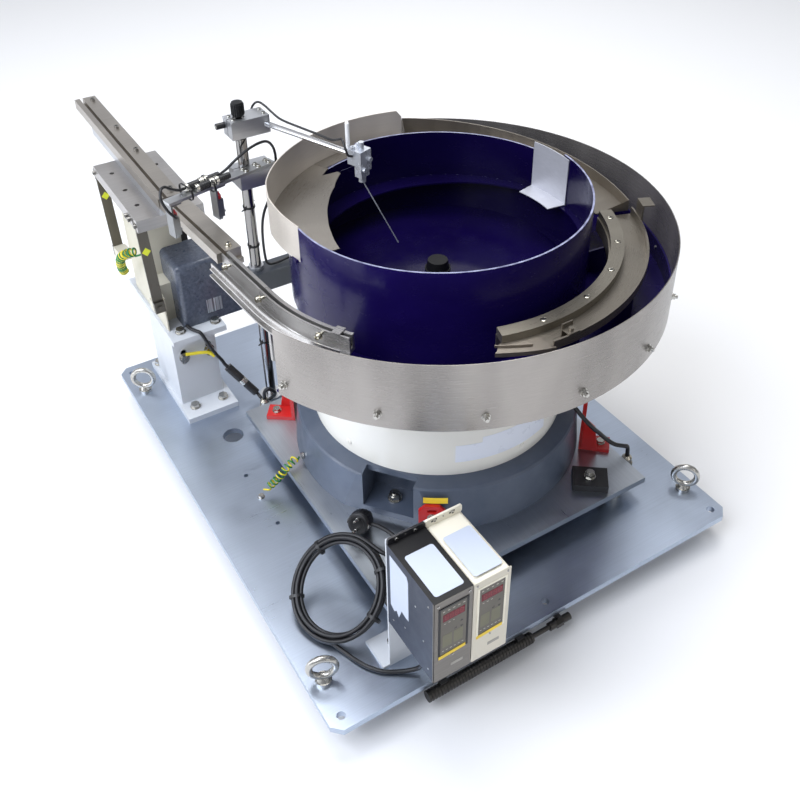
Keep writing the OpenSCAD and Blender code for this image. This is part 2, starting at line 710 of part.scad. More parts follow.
// Coated bowl, its return pan and the ribs under the outlet track
module bowl() {
    color([0.12, 0.08, 0.5]) on_bowl() difference() {
        union() {
            rotate_extrude($fn = 180) polygon([[0, bowl_z], [bowl_r, bowl_z], [bowl_r, rim_z],
                [wall_in, rim_z], [wall_in, bowl_z + bowl_t], [25, cone_z], [0, cone_z]]);
            rotate([0, 0, pan_a0]) rotate_extrude(angle = pan_a1 - pan_a0, $fn = 180)
                polygon([[bowl_r - 1, bowl_z], [pan_r, bowl_z], [pan_r, pan_lip_z], [pan_r - 3, pan_lip_z],
                    [pan_r - 3, bowl_z + bowl_t], [bowl_r - 1, bowl_z + bowl_t]]);
            for (a = rib_angles) rotate([0, 0, a]) translate([0, 2, 0]) rotate([90, 0, 0])
                linear_extrude(4) polygon([[bowl_r - 1, bowl_z + 1], [outlet_r1 - 8, bowl_z + 1],
                    [outlet_r1 - 8, outlet_floor - sheet - fit], [outlet_r + 6, outlet_floor - sheet - fit],
                    [outlet_r + 2, outlet_floor - 28], [bowl_r - 1, outlet_floor - 40]]);
        }
        for (a = skirt_angles) rotate([0, 0, a]) translate([pan_r - 12, 0, skirt_screw_z])
            rotate([0, 90, 0]) cylinder(d = skirt_screw_d + hole_fit, h = 20);
        translate([0, 0, cone_z - 10]) cylinder(d = 12 + hole_fit, h = 12);
        arc_wall(pan_r - 5, pan_r + 1, bowl_z + bowl_t, pan_lip_z + 1, pan_a0 - 1, pan_a0 + 20);
        for (s = [[-4, 10, wall_h - 8], [9, 95, wall_h - 18], [94, 178, spiral_low]])
            arc_wall(wall_in - 5, bowl_r + 5, bowl_z + s[2], rim_z + 5, s[0], s[1]);
        rotate([0, 0, 9]) slab([wall_in - 6, -9, bowl_z + 134], [bowl_r + 6, 9, rim_z + 6]);
    }
}

// Ledge that climbs round the inside of the bowl
function track_z(a) = track_z60 + track_pitch * (60 - a) / 360;
function track_in(a) = lookup(a, [[-170, wall_in - 62], [-120, wall_in - 32], [-60, wall_in - 11],
    [5, wall_in - 11], [22, wall_in - 21], [60, wall_in - 36], [200, wall_in - 36],
    [300, wall_in - 25], [366, wall_in - 11]]);

module bowl_track() {
    angles = [for (a = [track_start : -6 : track_end]) a];
    color([0.1, 0.07, 0.45]) on_bowl() sweep_sections([for (a = angles)
        [[track_in(a), track_z(a) - sheet - 1], [wall_in - fit, track_z(a) - sheet - 1],
        [wall_in - fit, track_z(a)], [track_in(a), track_z(a)]]], angles);
}

module centre_knob() {
    color("black") on_bowl() {
        translate([0, 0, cone_z]) cylinder(d = 44, h = 4);
        translate([0, 0, cone_z + 4]) cylinder(d1 = 40, d2 = 34, h = 15);
        translate([0, 0, cone_z - 9]) cylinder(d = 12, h = 10);
    }
}

module skirt_band() {
    color("silver") on_bowl() difference() {
        arc_wall(skirt_r - skirt_t, skirt_r, skirt_z, skirt_z + skirt_h, skirt_a0, pan_a1);
        for (a = skirt_angles) rotate([0, 0, a]) translate([pan_r - 12, 0, skirt_screw_z])
            rotate([0, 90, 0]) cylinder(d = skirt_screw_d + hole_fit, h = 20);
    }
}

module skirt_screws() {
    color("silver") on_bowl() for (a = skirt_angles) rotate([0, 0, a])
        translate([skirt_r, 0, skirt_screw_z]) rotate([0, 90, 0]) {
            cylinder(d = 13, h = 1.2);
            translate([0, 0, 1.2]) cylinder(d = 11, h = 4.5, $fn = 6);
            translate([0, 0, -6]) cylinder(d = skirt_screw_d, h = 6 + screw_out);
        }
}

// Raised stainless wall of the last part of the track
function spiral_out(a) = lookup(a, [[71, spiral_r], [148, spiral_r], [158, spiral_r - 5],
    [168, spiral_r - 17], [178, bowl_r]]);
function climb_z(a) = track_z(a - 360);

module spiral_wall() {
    angles = [for (a = [178 : -1 : spiral_a1]) a];
    color("silver") on_bowl() sweep_sections([for (a = angles)
        let (r = spiral_out(a), top = lookup(a, [[71, spiral_z - 12], [73, spiral_z],
            [150, spiral_z], [178, spiral_z - 12]]))
        [[r - sheet, climb_z(a) - 4], [r, climb_z(a) - 4], [r, top], [r - sheet, top]]], angles);
}

module spiral_track() {
    inner = [[107, wall_in - 26], [121, wall_in - 48], [135, wall_in - 58], [150, wall_in - 65],
        [164, wall_in - 67], [178, wall_in - 65]];
    a_list = [for (a = [178 : -3 : 107]) a];
    b_list = [for (a = [107 : -3 : 71]) a];
    tip = [[wall_in - 26, 106.5], [wall_in - 7, 115], [wall_in + 5, 106.5], [wall_in - 17, 104]];
    color("silver") on_bowl() difference() {
        union() {
            sweep_sections([for (a = a_list) let (r0 = lookup(a, inner), r1 = spiral_out(a) - sheet - fit)
                [[r0, climb_z(a) - sheet], [r1, climb_z(a) - sheet], [r1, climb_z(a)], [r0, climb_z(a)]]],
                a_list);
            sweep_sections([for (a = b_list) let (r1 = spiral_out(a) - sheet - fit)
                [[bowl_r + fit, climb_z(a) - sheet], [r1, climb_z(a) - sheet], [r1, climb_z(a)],
                [bowl_r + fit, climb_z(a)]]], b_list);
        }
        translate([0, 0, bowl_z]) linear_extrude(wall_h)
            polygon([for (p = tip) [p[0] * cos(p[1]), p[0] * sin(p[1])]]);
    }
}

// Sheet chute that falls round the outside of the bowl
module ring_track() {
    angles = [for (a = [ring_a0 : -4 : ring_a1]) a];
    color("silver") on_bowl() sweep_sections([for (a = angles)
        let (r1 = lookup(a, [[ring_a1, outlet_r1 - 1], [ring_a0, spiral_r + 20]]),
            r0 = lookup(a, [[ring_a1, outlet_r], [12, bowl_r + fit], [ring_a0, bowl_r + fit]]),
            top = lookup(a, [[ring_a1, rails_z + 6], [ring_a0, rails_z + 68]]),
            low = lookup(a, [[ring_a1, outlet_floor + 1], [ring_a0, rails_z + 40]]))
        [[r0, low - sheet], [r1, low - sheet], [r1, top], [r1 - sheet, top], [r1 - sheet, low], [r0, low]]],
        angles);
}

// Curved outlet track with its welded brackets: a joint plate at its start
// and a stop near its end
module outlet_track() {
    color("silver") on_bowl() difference() {
        union() {
            rotate([0, 0, -25]) {
                slab([outlet_r1 - 1, -14, outlet_floor], [outlet_r1 + 2, 14, rails_z + 26]);
                slab([outlet_r1 + 1, -14, rails_z + 24], [outlet_r1 + 20, 14, rails_z + 26]);
            }
            rotate([0, 0, -89]) {
                slab([outlet_r1 - 16, -10, rails_z], [outlet_r1, 10, rails_z + 2]);
                slab([outlet_r1 - 18, -10, outlet_floor - 1], [outlet_r1 - 16, 10, rails_z + 10]);
                translate([outlet_r1 - 8, 0, rails_z + 1]) cylinder(d = 8, h = 5);
            }
            rotate([0, 0, outlet_inner_a1]) rotate_extrude(angle = outlet_a0 - outlet_inner_a1, $fn = 180)
                polygon([[outlet_r - sheet, outlet_floor - 26], [outlet_r, outlet_floor - 26],
                    [outlet_r, outlet_floor - sheet], [outlet_r1, outlet_floor - sheet], [outlet_r1, rails_z],
                    [outlet_r1 - 3, rails_z], [outlet_r1 - 3, outlet_floor], [outlet_r - sheet, outlet_floor]]);
        }
        arc_wall(strip_r1, outlet_r1 + 5, outlet_floor - 9, rails_z + 1, outlet_inner_a1 - 1, outlet_a1);
        for (a = strip_screw_angles) rotate([0, 0, a]) translate([outlet_r + 11, 0, outlet_floor - 9])
            cylinder(d = 5 + hole_fit, h = 20);
    }
}

module track_strip() {
    color("silver") on_bowl() difference() {
        arc_wall(outlet_r, strip_r1, outlet_floor, rails_z, outlet_inner_a1, outlet_a0);
        for (a = strip_screw_angles) rotate([0, 0, a]) translate([outlet_r + 11, 0, outlet_floor - 1]) {
            cylinder(d = 5 + hole_fit, h = 30);
            translate([0, 0, rails_z - outlet_floor - 2.5]) cylinder(d1 = 6, d2 = 11, h = 3.6);
        }
    }
}

module track_fasteners() {
    color("silver") on_bowl() {
        for (a = strip_screw_angles) rotate([0, 0, a]) translate([outlet_r + 11, 0, 0]) difference() {
            union() {
                translate([0, 0, rails_z - 4]) cylinder(d1 = 5, d2 = 10, h = 3.6);
                translate([0, 0, outlet_floor - 5]) cylinder(d = 5, h = rails_z - outlet_floor + 2);
            }
            translate([0, 0, rails_z - 2]) cylinder(d = 4, h = 3, $fn = 6);
        }
        for (a = rail_screw_angles) rotate([0, 0, a]) translate([groove_out + 3, 0, rails_z - 14])
            rotate([0, 90, 0]) {
                cylinder(d = 9, h = 1);
                translate([0, 0, 1]) cylinder(d = 8.5, h = 6);
            }
        rotate([0, 0, rail_a1]) for (y = [20, 70, 120]) translate([groove_out + 3, -y, rails_z - 14])
            rotate([0, 90, 0]) {
                cylinder(d = 9, h = 1);
                translate([0, 0, 1]) cylinder(d = 8.5, h = 6);
            }
        rotate([0, 0, rail_a1]) for (y = [guide_start + 14, guide_start + guide_l - 20])
            translate([groove_in - 14, -y, rails_z]) {
                cylinder(d = 12, h = 1.2);
                translate([0, 0, 1.2]) cylinder(d = 9, h = 6);
            }
    }
}

module deflector_plate() {
    z0 = track_z(-8) + 1;
    color("silver") on_bowl() {
        arc_wall(wall_in - 2, wall_in - 0.5, z0, rim_z - 3, -8, 13);
        arc_wall(wall_in - 36, wall_in - 1, z0, z0 + 1.5, -8, 13);
    }
}

// Outlet rail: two plates with a groove between them on a stepped base
module rail_section() {
    polygon([[groove_in - 6, rail_z0], [groove_out + 3, rail_z0], [groove_out + 3, rail_z0 - 3],
        [groove_out + 28, rail_z0 - 3], [groove_out + 28, rail_z0], [groove_out + 4, rail_z0],
        [groove_out + 3, rail_z0 + 2], [groove_out + 3, rails_z], [groove_out, rails_z],
        [groove_out, rail_z0 + 8], [groove_in, rail_z0 + 8], [groove_in, rails_z],
        [groove_in - 6, rails_z]]);
}

module outlet_rail() {
    color("silver") on_bowl() {
        rotate([0, 0, rail_a1]) rotate_extrude(angle = rail_a0 - rail_a1, $fn = 180) rail_section();
        rotate([0, 0, rail_a1]) rotate([90, 0, 0]) linear_extrude(rail_straight) rail_section();
        for (a = rail_feet) rotate([0, 0, a])
            slab([groove_out + 6, -3, bowl_z + bowl_t], [groove_out + 24, 3, rail_z0 - 2.9]);
        rotate([0, 0, rail_feet[0]]) slab([groove_in - 9, -7, rails_z], [groove_out + 3, 7, rails_z + 2]);
    }
}

module guide_rail() {
    color("silver") on_bowl() rotate([0, 0, rail_a1]) translate([0, -guide_start, 0]) {
        slab([groove_in - 28, -guide_l, rails_z - 18], [groove_in, 0, rails_z]);
        slab([groove_in - 1, -guide_l, rails_z - 18], [groove_out + 1, 0, rails_z - 12]);
        slab([groove_out, -guide_l, rails_z - 18], [groove_out + 10, 0, rails_z]);
        slab([groove_in - 28, -20, rail_z0 + 2], [groove_in - 6.5, 6, rails_z - 18]);
    }
}

// Linear feeder

module on_spring(p) {
    place() translate([p.x, p.y, spring_top_z]) rotate([-lin_lean, 0, 0]) children();
}

module linear_rail() {
    color("silver") place() translate([linear_x, linear_rail_y0, 0]) {
        slab([groove_w / 2, 0, rails_z - 20], [groove_w / 2 + 27, linear_l, rails_z]);
        slab([-groove_w / 2 - 1, 0, rails_z - 20], [groove_w / 2 + 1, linear_l, rails_z - 13]);
        slab([-groove_w / 2 - 11, 0, rails_z - 20], [-groove_w / 2, linear_l, rails_z]);
    }
}

module rail_support_bar() {
    color("gainsboro") place()
        slab([linear_x - 12, linear_y - 3, block_z1], [linear_x + 28, linear_y + bar_l, rails_z - 20]);
}

module linear_top_screws() {
    color("silver") place() {
        for (y = [24, 210, 330, linear_l - 26]) translate([linear_x + 18, linear_rail_y0 + y, rails_z])
            cap_screw(6, 0);
        for (y = [70, 215]) translate([block_x1 - 28, linear_y + y, block_z1]) cap_screw(6, 8);
        for (y = [36, 52]) translate([block_x0, linear_y + y, block_z1 - 11])
            rotate([0, -90, 0]) cap_screw(6, 6);
        for (y = [5, block_l - 8]) translate([block_x0, linear_y + y, block_z1 - 11])
            rotate([0, -90, 0]) cap_screw(5, 6);
    }
}

module linear_top_block() {
    color("lightgray") place() difference() {
        slab([block_x0, linear_y, block_z0], [block_x1, block_y1, block_z1]);
        slab([block_x0 - 1, front_spring_y - 14, block_z0 - 1],
            [block_x0 + strip_w + 4, front_spring_y + strip_t + lin_play, block_z1 - 7]);
        slab([block_x1 - strip_w - 3, mid_spring_y - 14, block_z0 - 1],
            [block_x1 + 1, mid_spring_y + strip_t + lin_play, block_z1 - 7]);
        for (p = block_holes) translate([p.x, p.y, block_z0 - 1]) cylinder(d = 9, h = block_t + 2);
        for (y = [70, 215]) translate([block_x1 - 28, linear_y + y, block_z1 - 9])
            cylinder(d = 6 + hole_fit, h = 10);
        for (y = [36, 52]) translate([block_x0 - 1, linear_y + y, block_z1 - 11])
            rotate([0, 90, 0]) cylinder(d = 6 + hole_fit, h = 8);
        for (y = [5, block_l - 8]) translate([block_x0 - 1, linear_y + y, block_z1 - 11])
            rotate([0, 90, 0]) cylinder(d = 5 + hole_fit, h = 8);
    }
}

module linear_springs() {
    color("dimgray") for (p = spring_spots) on_spring(p) {
        slab([0, 0, -spring_run], [strip_w, strip_t, 0]);
        slab([0, p.z < 0 ? -6 : strip_t, -22], [strip_w, p.z < 0 ? 0 : strip_t + 6, 0]);
        slab([0, p.z < 0 ? -6 : strip_t, -spring_run], [strip_w, p.z < 0 ? 0 : strip_t + 6, -spring_run + 22]);
        for (z = [-11, -spring_run + 11]) translate([strip_w / 2, p.z < 0 ? -6 : strip_t + 6, z])
            rotate([p.z < 0 ? 90 : -90, 0, 0]) {
                cylinder(d = 12, h = 1);
                translate([0, 0, 1]) cylinder(d = 11, h = 4, $fn = 6);
            }
    }
}

// Cast body of the linear feeder with the lower spring lugs
module linear_base() {
    color("ivory") {
        place() slab([base_x0, base_y0, box_h + stand_top + 3], [base_x1, base_y1, block_z0 - 12]);
        place() slab([base_x0, base_y0, stand_top], [box_x0 - fit, base_y1, box_h + stand_top + 4]);
        place() slab([base_x0, box_y1 + fit, stand_top], [base_x1, base_y1, box_h + stand_top + 4]);
        for (p = spring_spots) on_spring(p)
            slab([p.x < linear_x ? 0 : -9, p.z < 0 ? strip_t : -36, -spring_run],
                [p.x < linear_x ? strip_w + 4 : strip_w, p.z < 0 ? strip_t + 20 : 0, -spring_run + 22]);
    }
}

module linear_cover() {
    w = [box_x1 - box_x0, box_y1 - box_y0, box_h];
    color("darkslategray") place() translate([box_x0, box_y0, stand_top]) difference() {
        round_box(w, 12);
        translate([3, 3, 3]) round_box([w.x - 6, w.y + 20, w.z - 6], 9);
    }
}

module linear_stand() {
    color("whitesmoke") place() difference() {
        union() {
            slab([foot_x, foot_y0, 0], [foot_x + flange_w, foot_y1, flange_t]);
            slab([stand_x, column_y0, flange_t - 1], [stand_x + column_w, column_y1, stand_top - flange_t + 1]);
            slab([stand_x, stand_y, stand_top - flange_t], [box_x1 - 56, stand_y1, stand_top]);
        }
        slab([stand_x + 8, column_y0 + 8, flange_t], [stand_x + column_w - 8, column_y1 - 8,
            stand_top - flange_t]);
        for (x = slot_x) translate([x, column_y0 - 1, 0]) {
            for (z = [114, 138]) translate([0, 0, z]) rotate([-90, 0, 0]) cylinder(d = 12, h = 12);
            slab([-6, 0, 114], [6, 12, 138]);
        }
        for (p = stand_bolts) translate([p.x, p.y, -1]) cylinder(d = bolt_d + hole_fit, h = flange_t + 2);
        for (p = top_bolts) translate([p.x, p.y, stand_top - flange_t - 1])
            cylinder(d = bolt_d + hole_fit, h = flange_t + 2);
        translate([linear_lug.x, linear_lug.y, stand_top - flange_t - 1])
            cylinder(d = 6 + hole_fit, h = flange_t + 2);
    }
}

// Sensor post and its arms

module post_beam() {
    color("dimgray") place() difference() {
        slab([post_x - 22, post_y - 26, beam_z], [post_x + 130, post_y - 26 + beam_s, beam_z + beam_s]);
        translate([post_x, post_y, beam_z - 1]) cylinder(d = post_d + hole_fit, h = beam_s + 2);
        translate([post_x + 95, post_y - 6, beam_z - 1]) cylinder(d = 9, h = beam_s + 2);
    }
}

module sensor_post() {
    color("silver") place() translate([post_x, post_y, 0]) difference() {
        cylinder(d = post_d, h = post_h - 6);
        translate([0, 0, -1]) cylinder(d = 8, h = 30);
    }
}

module post_knob() {
    color("black") place() translate([post_x, post_y, rod_z + 16]) {
        cylinder(d = 24, h = 5);
        translate([0, 0, 5]) difference() {
            cylinder(d = 34, h = 26);
            for (a = [0 : 30 : 330]) rotate([0, 0, a]) translate([18, 0, -1]) cylinder(d = 5, h = 28);
        }
        translate([0, 0, 31]) cylinder(d1 = 34, d2 = 26, h = 4);
    }
}

module post_clamps() {
    color("lightgray") place() difference() {
        union() {
            slab([post_x - 22, post_y - 20, rod_z - 16], [post_x + 48, post_y + 18, rod_z + 16]);
            slab([post_x - 22, post_y - arm_off - 12, arm_z - arm_t / 2 - 28],
                [post_x + 48, post_y + 20, arm_z - arm_t / 2]);
            translate([post_x, post_y, 0]) cylinder(d = 46, h = 14);
            translate([post_x, post_y, beam_z + beam_s]) cylinder(d = 28, h = 8);
        }
        translate([post_x, post_y, -1]) cylinder(d = post_d + hole_fit, h = post_h + 20);
        translate([rod_x, rod_y, rod_z]) rotate([0, 90, rod_turn]) translate([0, 0, -40])
            cylinder(d = rod_d + hole_fit, h = 90);
        slab([post_x - 23, post_y - 1, rod_z - 17], [post_x - 8, post_y + 1, rod_z + 17]);
        slab([post_x - 23, post_y - 1, arm_z - 35], [post_x - 8, post_y + 1, arm_z]);
    }
}

module arm_rod() {
    color("silver") place() translate([rod_x, rod_y, rod_z]) rotate([0, 90, rod_turn])
        translate([0, 0, -14]) cylinder(d = rod_d, h = rod_l);
}

// Level sensor at the end of the arm rod, with its feeler wire
module level_sensor() {
    color("silver") place() translate([rod_x, rod_y, rod_z]) rotate([0, 0, rod_turn])
        translate([rod_l - 14, 0, 0]) {
            difference() {
                union() {
                    slab([-22, -12, -13], [4, 14, 13]);
                    slab([-10, -9, -34], [4, 11, -12.9]);
                    slab([2, -12, -24], [6, 14, 13]);
                }
                translate([-30, 0, 0]) rotate([0, 90, 0]) cylinder(d = rod_d + hole_fit, h = 30.2);
            }
            for (y = [-7, 8]) translate([-14, y, 13]) cap_screw(5, 0);
            translate([-3, 1, 12]) cylinder(d = 9, h = 14);
            translate([6, 8, -4]) rotate([0, 90, 0]) cap_screw(5, 0);
            translate([6, -6, -18]) rotate([0, 90, 0]) cap_screw(5, 0);
            translate([-3, 1, -44]) cylinder(d = 12, h = 11);
            translate([-3, 1, -43]) rotate([0, wire_tilt, wire_turn]) mirror([0, 0, 1])
                cylinder(d = 2, h = wire_l);
        }
}

module sensor_tag() {
    color("white") place() translate([rod_x, rod_y, rod_z]) rotate([0, 0, rod_turn])
        translate([rod_l - 44, 0, rod_d / 2]) {
            cylinder(d = 7, h = 46);
            translate([0, 0, 46]) cylinder(d1 = 7, d2 = 3, h = 3);
        }
}

module sensor_arm() {
    color("lightgray") place() translate([post_x, post_y, arm_z]) rotate([0, 0, arm_turn])
        difference() {
            slab([-arm_l, -10 - arm_off, -arm_t / 2], [44, 10 - arm_off, arm_t / 2]);
            for (x = [-arm_l + 30, -100, -54]) translate([x, -arm_off, -arm_t])
                cylinder(d = 6, h = 2 * arm_t);
        }
}

// Brackets with the rail sensors that hang from the flat arm
module rail_sensors() {
    color("gray") place() translate([post_x, post_y, arm_z]) rotate([0, 0, arm_turn])
        for (x = sensor_spots) translate([x, -arm_off, -arm_t / 2]) {
            slab([-8, -10, -3], [12, 10, 0]);
            slab([-8, -10, -62], [-5, 10, 0]);
            slab([-5, -7, -60], [6, 7, -26]);
            translate([1, 0, -26]) cylinder(d = 9, h = 7);
            translate([1, 0, -66]) cylinder(d = 8, h = 6);
            translate([6, 0, -54]) rotate([0, 90, 0]) cylinder(d = 5, h = 5);
        }
}

// Plug connectors in the cables: two on the flat arm, one on the linear cable
module cable_connectors() {
    color("black") {
        place() translate([post_x, post_y, arm_z]) rotate([0, 0, arm_turn])
            for (p = [[-130, -14], [-118, -28]]) translate([p[0], p[1], arm_t / 2 + 7]) rotate([0, 90, 0]) {
                cylinder(d = 12, h = 28);
                translate([0, 0, 28]) cylinder(d = 14, h = 16);
                translate([0, 0, 44]) cylinder(d = 11, h = 24);
            }
        place() translate(plug_a) rotate([0, plug_tilt, plug_turn]) {
            cylinder(d = 17, h = 38);
            translate([0, 0, 38]) cylinder(d = 15, h = 12);
            translate([0, 0, 50]) cylinder(d = 16, h = 31);
        }
    }
}

module cable_glands() {
    color("silver") place() for (p = gland_spots) translate([p.x, p.y, 0]) difference() {
        union() {
            translate([0, 0, -plate_t + 1]) cylinder(d = gland_d, h = plate_t);
            cylinder(d = 25, h = 7, $fn = 6);
            translate([0, 0, 7]) cylinder(d = 19, h = 9);
            translate([0, 0, 16]) cylinder(d = 24, h = 10, $fn = 6);
            translate([0, 0, 26]) cylinder(d = 19, h = 9);
            translate([0, 0, 35]) cylinder(d1 = 19, d2 = 11, h = 5);
        }
        translate([0, 0, -plate_t]) cylinder(d = gland_bore, h = 60);
    }
}

// Controllers on their bracket

module controller_bracket() {
    x1 = ctrl_x + 2 * ctrl_w;
    color("gainsboro") place() difference() {
        union() {
            slab([ctrl_x, ctrl_back - bracket_t, 0], [x1, ctrl_back, ctrl_z + ctrl_h + 6]);
            slab([ctrl_x - 12, ctrl_back - bracket_t, 0], [x1, ctrl_back + 52, 5]);
        }
        for (x = [ctrl_x + 20, ctrl_x + 110]) translate([x, ctrl_back + 30, -1])
            cylinder(d = 6 + hole_fit, h = 7);
        for (x = [15, 45, 77, 107], z = [12, ctrl_h - 12]) translate([ctrl_x + x, ctrl_back - 10, ctrl_z + z])
            rotate([-90, 0, 0]) cylinder(d = 5, h = 20);
    }
}

module controller_front(x) {
    translate([x, ctrl_y0 - panel_t, ctrl_z]) difference() {
        slab([7, 0, 52], [ctrl_w - 7, panel_t + 0.1, ctrl_h - 14]);
        slab([10, -1, 55], [ctrl_w - 10, panel_t - 0.5, ctrl_h - 17]);
    }
}

module controller_black() {
    color("black") place() {
        difference() {
            slab([ctrl_x, ctrl_y0, ctrl_z], [ctrl_x + ctrl_w - 0.2, ctrl_back - bracket_t, ctrl_z + ctrl_h]);
            translate([ctrl_x + 30, ctrl_y0 + 75, ctrl_z - 1]) cylinder(d = 12, h = 9);
        }
        controller_front(ctrl_x);
    }
}

module controller_cream() {
    color("ivory") place() {
        translate([ctrl_x + ctrl_w, ctrl_y0, ctrl_z]) intersection() {
            slab([0, 0, 0], [ctrl_w, ctrl_d, ctrl_h]);
            translate([0, 0, -8]) round_box([ctrl_w, ctrl_d + 8, ctrl_h + 4], 7);
        }
        controller_front(ctrl_x + ctrl_w);
    }
}

// Cords

module mains_coil() {
    color("black") place() translate(coil_c) rotate([0, coil_tilt, coil_turn])
        rotate_extrude($fn = 96) translate([coil_r, 0]) circle(r = coil_s, $fn = 32);
}

module mains_lead() {
    color("black") place() {
        tube(lead_pts, lead_d / 2, 8);
        tube(plug_pts, lead_d / 2, 8);
    }
}

module mains_plug() {
    color("black") place() translate(mains_plug_c) rotate([0, 62, -142]) {
        translate([0, 0, -18]) cylinder(d = 38, h = 36);
        translate([0, 0, -34]) cylinder(d1 = 16, d2 = 30, h = 17);
        for (x = [-9.5, 9.5]) translate([x, 0, 17]) cylinder(d = 4.8, h = 19);
    }
}

module linear_cable() {
    color("black") place() {
        tube(linear_pts_a, 3.5, 8);
        tube(linear_pts_b, 3.5, 8);
    }
}

module drive_cable() {
    color("black") place() tube(drive_pts, 4, 8);
}

module sensor_cable() {
    color("black") place() {
        tube(sensor_pts_a, 2.5, 8);
        tube(sensor_pts_b, 2.5, 8);
    }
}

module level_cable() {
    color("black") place() tube(level_pts, 2, 8);
}

module earth_wire_base() {
    color("yellow") place() tube(earth_base_pts, 9, 8);
}

module earth_wire_linear() {
    color("yellow") place() tube(earth_linear_pts, 11, 8);
}

// Ribbed conduit and its end fitting, clipped under the plate's front edge
module edge_conduit() {
    n = 36;
    p = conduit_l / n;
    ribs = [for (i = [0 : n - 1], q = [[0, 9.5], [0.55, 9.5], [0.6, 8.2], [0.95, 8.2]])
        [q[1], (i + q[0]) * p]];
    color("dimgray") place() {
        translate([conduit_x, conduit_y, conduit_z]) rotate([0, 90, 0])
            rotate_extrude() polygon(concat([[0, 0]], ribs, [[8.2, conduit_l], [0, conduit_l]]));
        translate([conduit_x + conduit_l, conduit_y, conduit_z]) rotate([0, 90, 0]) cylinder(d = 8, h = 35.5);
        translate([conduit_x + conduit_l + 35, conduit_y, conduit_z]) rotate([0, 90, 0]) {
            cylinder(d = 14, h = 12);
            translate([0, 0, 12]) cylinder(d = 17, h = 14, $fn = 6);
            translate([0, 0, 26]) cylinder(d = 13, h = 16);
        }
        for (x = [conduit_x + 24, conduit_x + conduit_l - 30])
            slab([x, conduit_y - 2, conduit_z + 8.5], [x + 14, conduit_y + 24, -plate_t]);
        slab([conduit_x + conduit_l + 50, conduit_y - 2, conduit_z + 7],
            [conduit_x + conduit_l + 58, conduit_y + 24, -plate_t]);
    }
}

base_plate();
levelling_feet();
eye_bolts();
plate_spacers();
drive_plate();
drive_base();
base_fasteners();
drive_cover();
electromagnet();
drive_springs();
armature();
drive_top_disc();
transport_brackets();
toe_clamp();
bowl();
bowl_track();
centre_knob();
skirt_band();
skirt_screws();
spiral_wall();
spiral_track();
ring_track();
outlet_track();
track_strip();
track_fasteners();
deflector_plate();
outlet_rail();
guide_rail();
linear_rail();
rail_support_bar();
linear_top_screws();
linear_top_block();
linear_springs();
linear_base();
linear_cover();
linear_stand();
post_beam();
sensor_post();
post_knob();
post_clamps();
arm_rod();
level_sensor();
sensor_tag();
sensor_arm();
rail_sensors();
cable_connectors();
cable_glands();
controller_bracket();
controller_black();
controller_cream();
mains_coil();
mains_lead();
mains_plug();
linear_cable();
drive_cable();
sensor_cable();
level_cable();
earth_wire_base();
earth_wire_linear();
edge_conduit();
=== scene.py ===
"""Looks of the vibratory bowl feeder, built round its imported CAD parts."""

import math

import bmesh
import bpy
from mathutils import Matrix, Vector


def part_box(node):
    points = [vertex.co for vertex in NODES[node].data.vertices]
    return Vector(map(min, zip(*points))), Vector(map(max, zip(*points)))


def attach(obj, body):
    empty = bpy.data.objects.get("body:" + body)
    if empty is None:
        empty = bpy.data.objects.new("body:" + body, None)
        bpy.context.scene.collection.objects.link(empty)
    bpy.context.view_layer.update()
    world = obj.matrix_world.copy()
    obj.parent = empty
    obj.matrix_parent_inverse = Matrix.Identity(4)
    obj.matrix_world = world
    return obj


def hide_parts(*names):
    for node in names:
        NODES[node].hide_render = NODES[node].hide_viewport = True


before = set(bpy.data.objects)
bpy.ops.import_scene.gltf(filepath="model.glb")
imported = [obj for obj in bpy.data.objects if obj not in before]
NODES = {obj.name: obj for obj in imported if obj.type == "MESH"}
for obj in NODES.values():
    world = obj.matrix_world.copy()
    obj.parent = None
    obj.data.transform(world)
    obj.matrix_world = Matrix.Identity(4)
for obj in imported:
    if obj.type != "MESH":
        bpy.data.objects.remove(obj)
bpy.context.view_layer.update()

MM = 0.001
PLATE_LOW, PLATE_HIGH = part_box("base_plate")
SKY_POWER = 2.2
STREAK_DEPTH, BRUSH_DEPTH = 0.00002, 0.000012


def height(z):
    """A height given in mm above the plate's top face."""
    return PLATE_HIGH.z + z * MM


def at(x, y, z):
    """A point given in mm from the plate's left edge, front edge and top face."""
    return Vector((PLATE_LOW.x + x * MM, PLATE_LOW.y + y * MM, height(z)))


COVER_LOW, COVER_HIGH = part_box("drive_cover")
AXIS = (COVER_LOW + COVER_HIGH) / 2
AXIS.z = 0.0
BOWL_LOW, BOWL_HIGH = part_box("bowl")


def round_axis(radius, angle, z):
    """A point round the bowl's axis: radius and height above the plate in mm, angle in degrees."""
    turn = math.radians(angle)
    return Vector((AXIS.x + radius * MM * math.cos(turn), AXIS.y + radius * MM * math.sin(turn), height(z)))


def row(start, end, steps):
    """Points from one (radius, angle, z) round the axis to another, in equal steps."""
    return [round_axis(*(a + (b - a) * k / steps for a, b in zip(start, end))) for k in range(steps + 1)]


# Camera, floor and lights

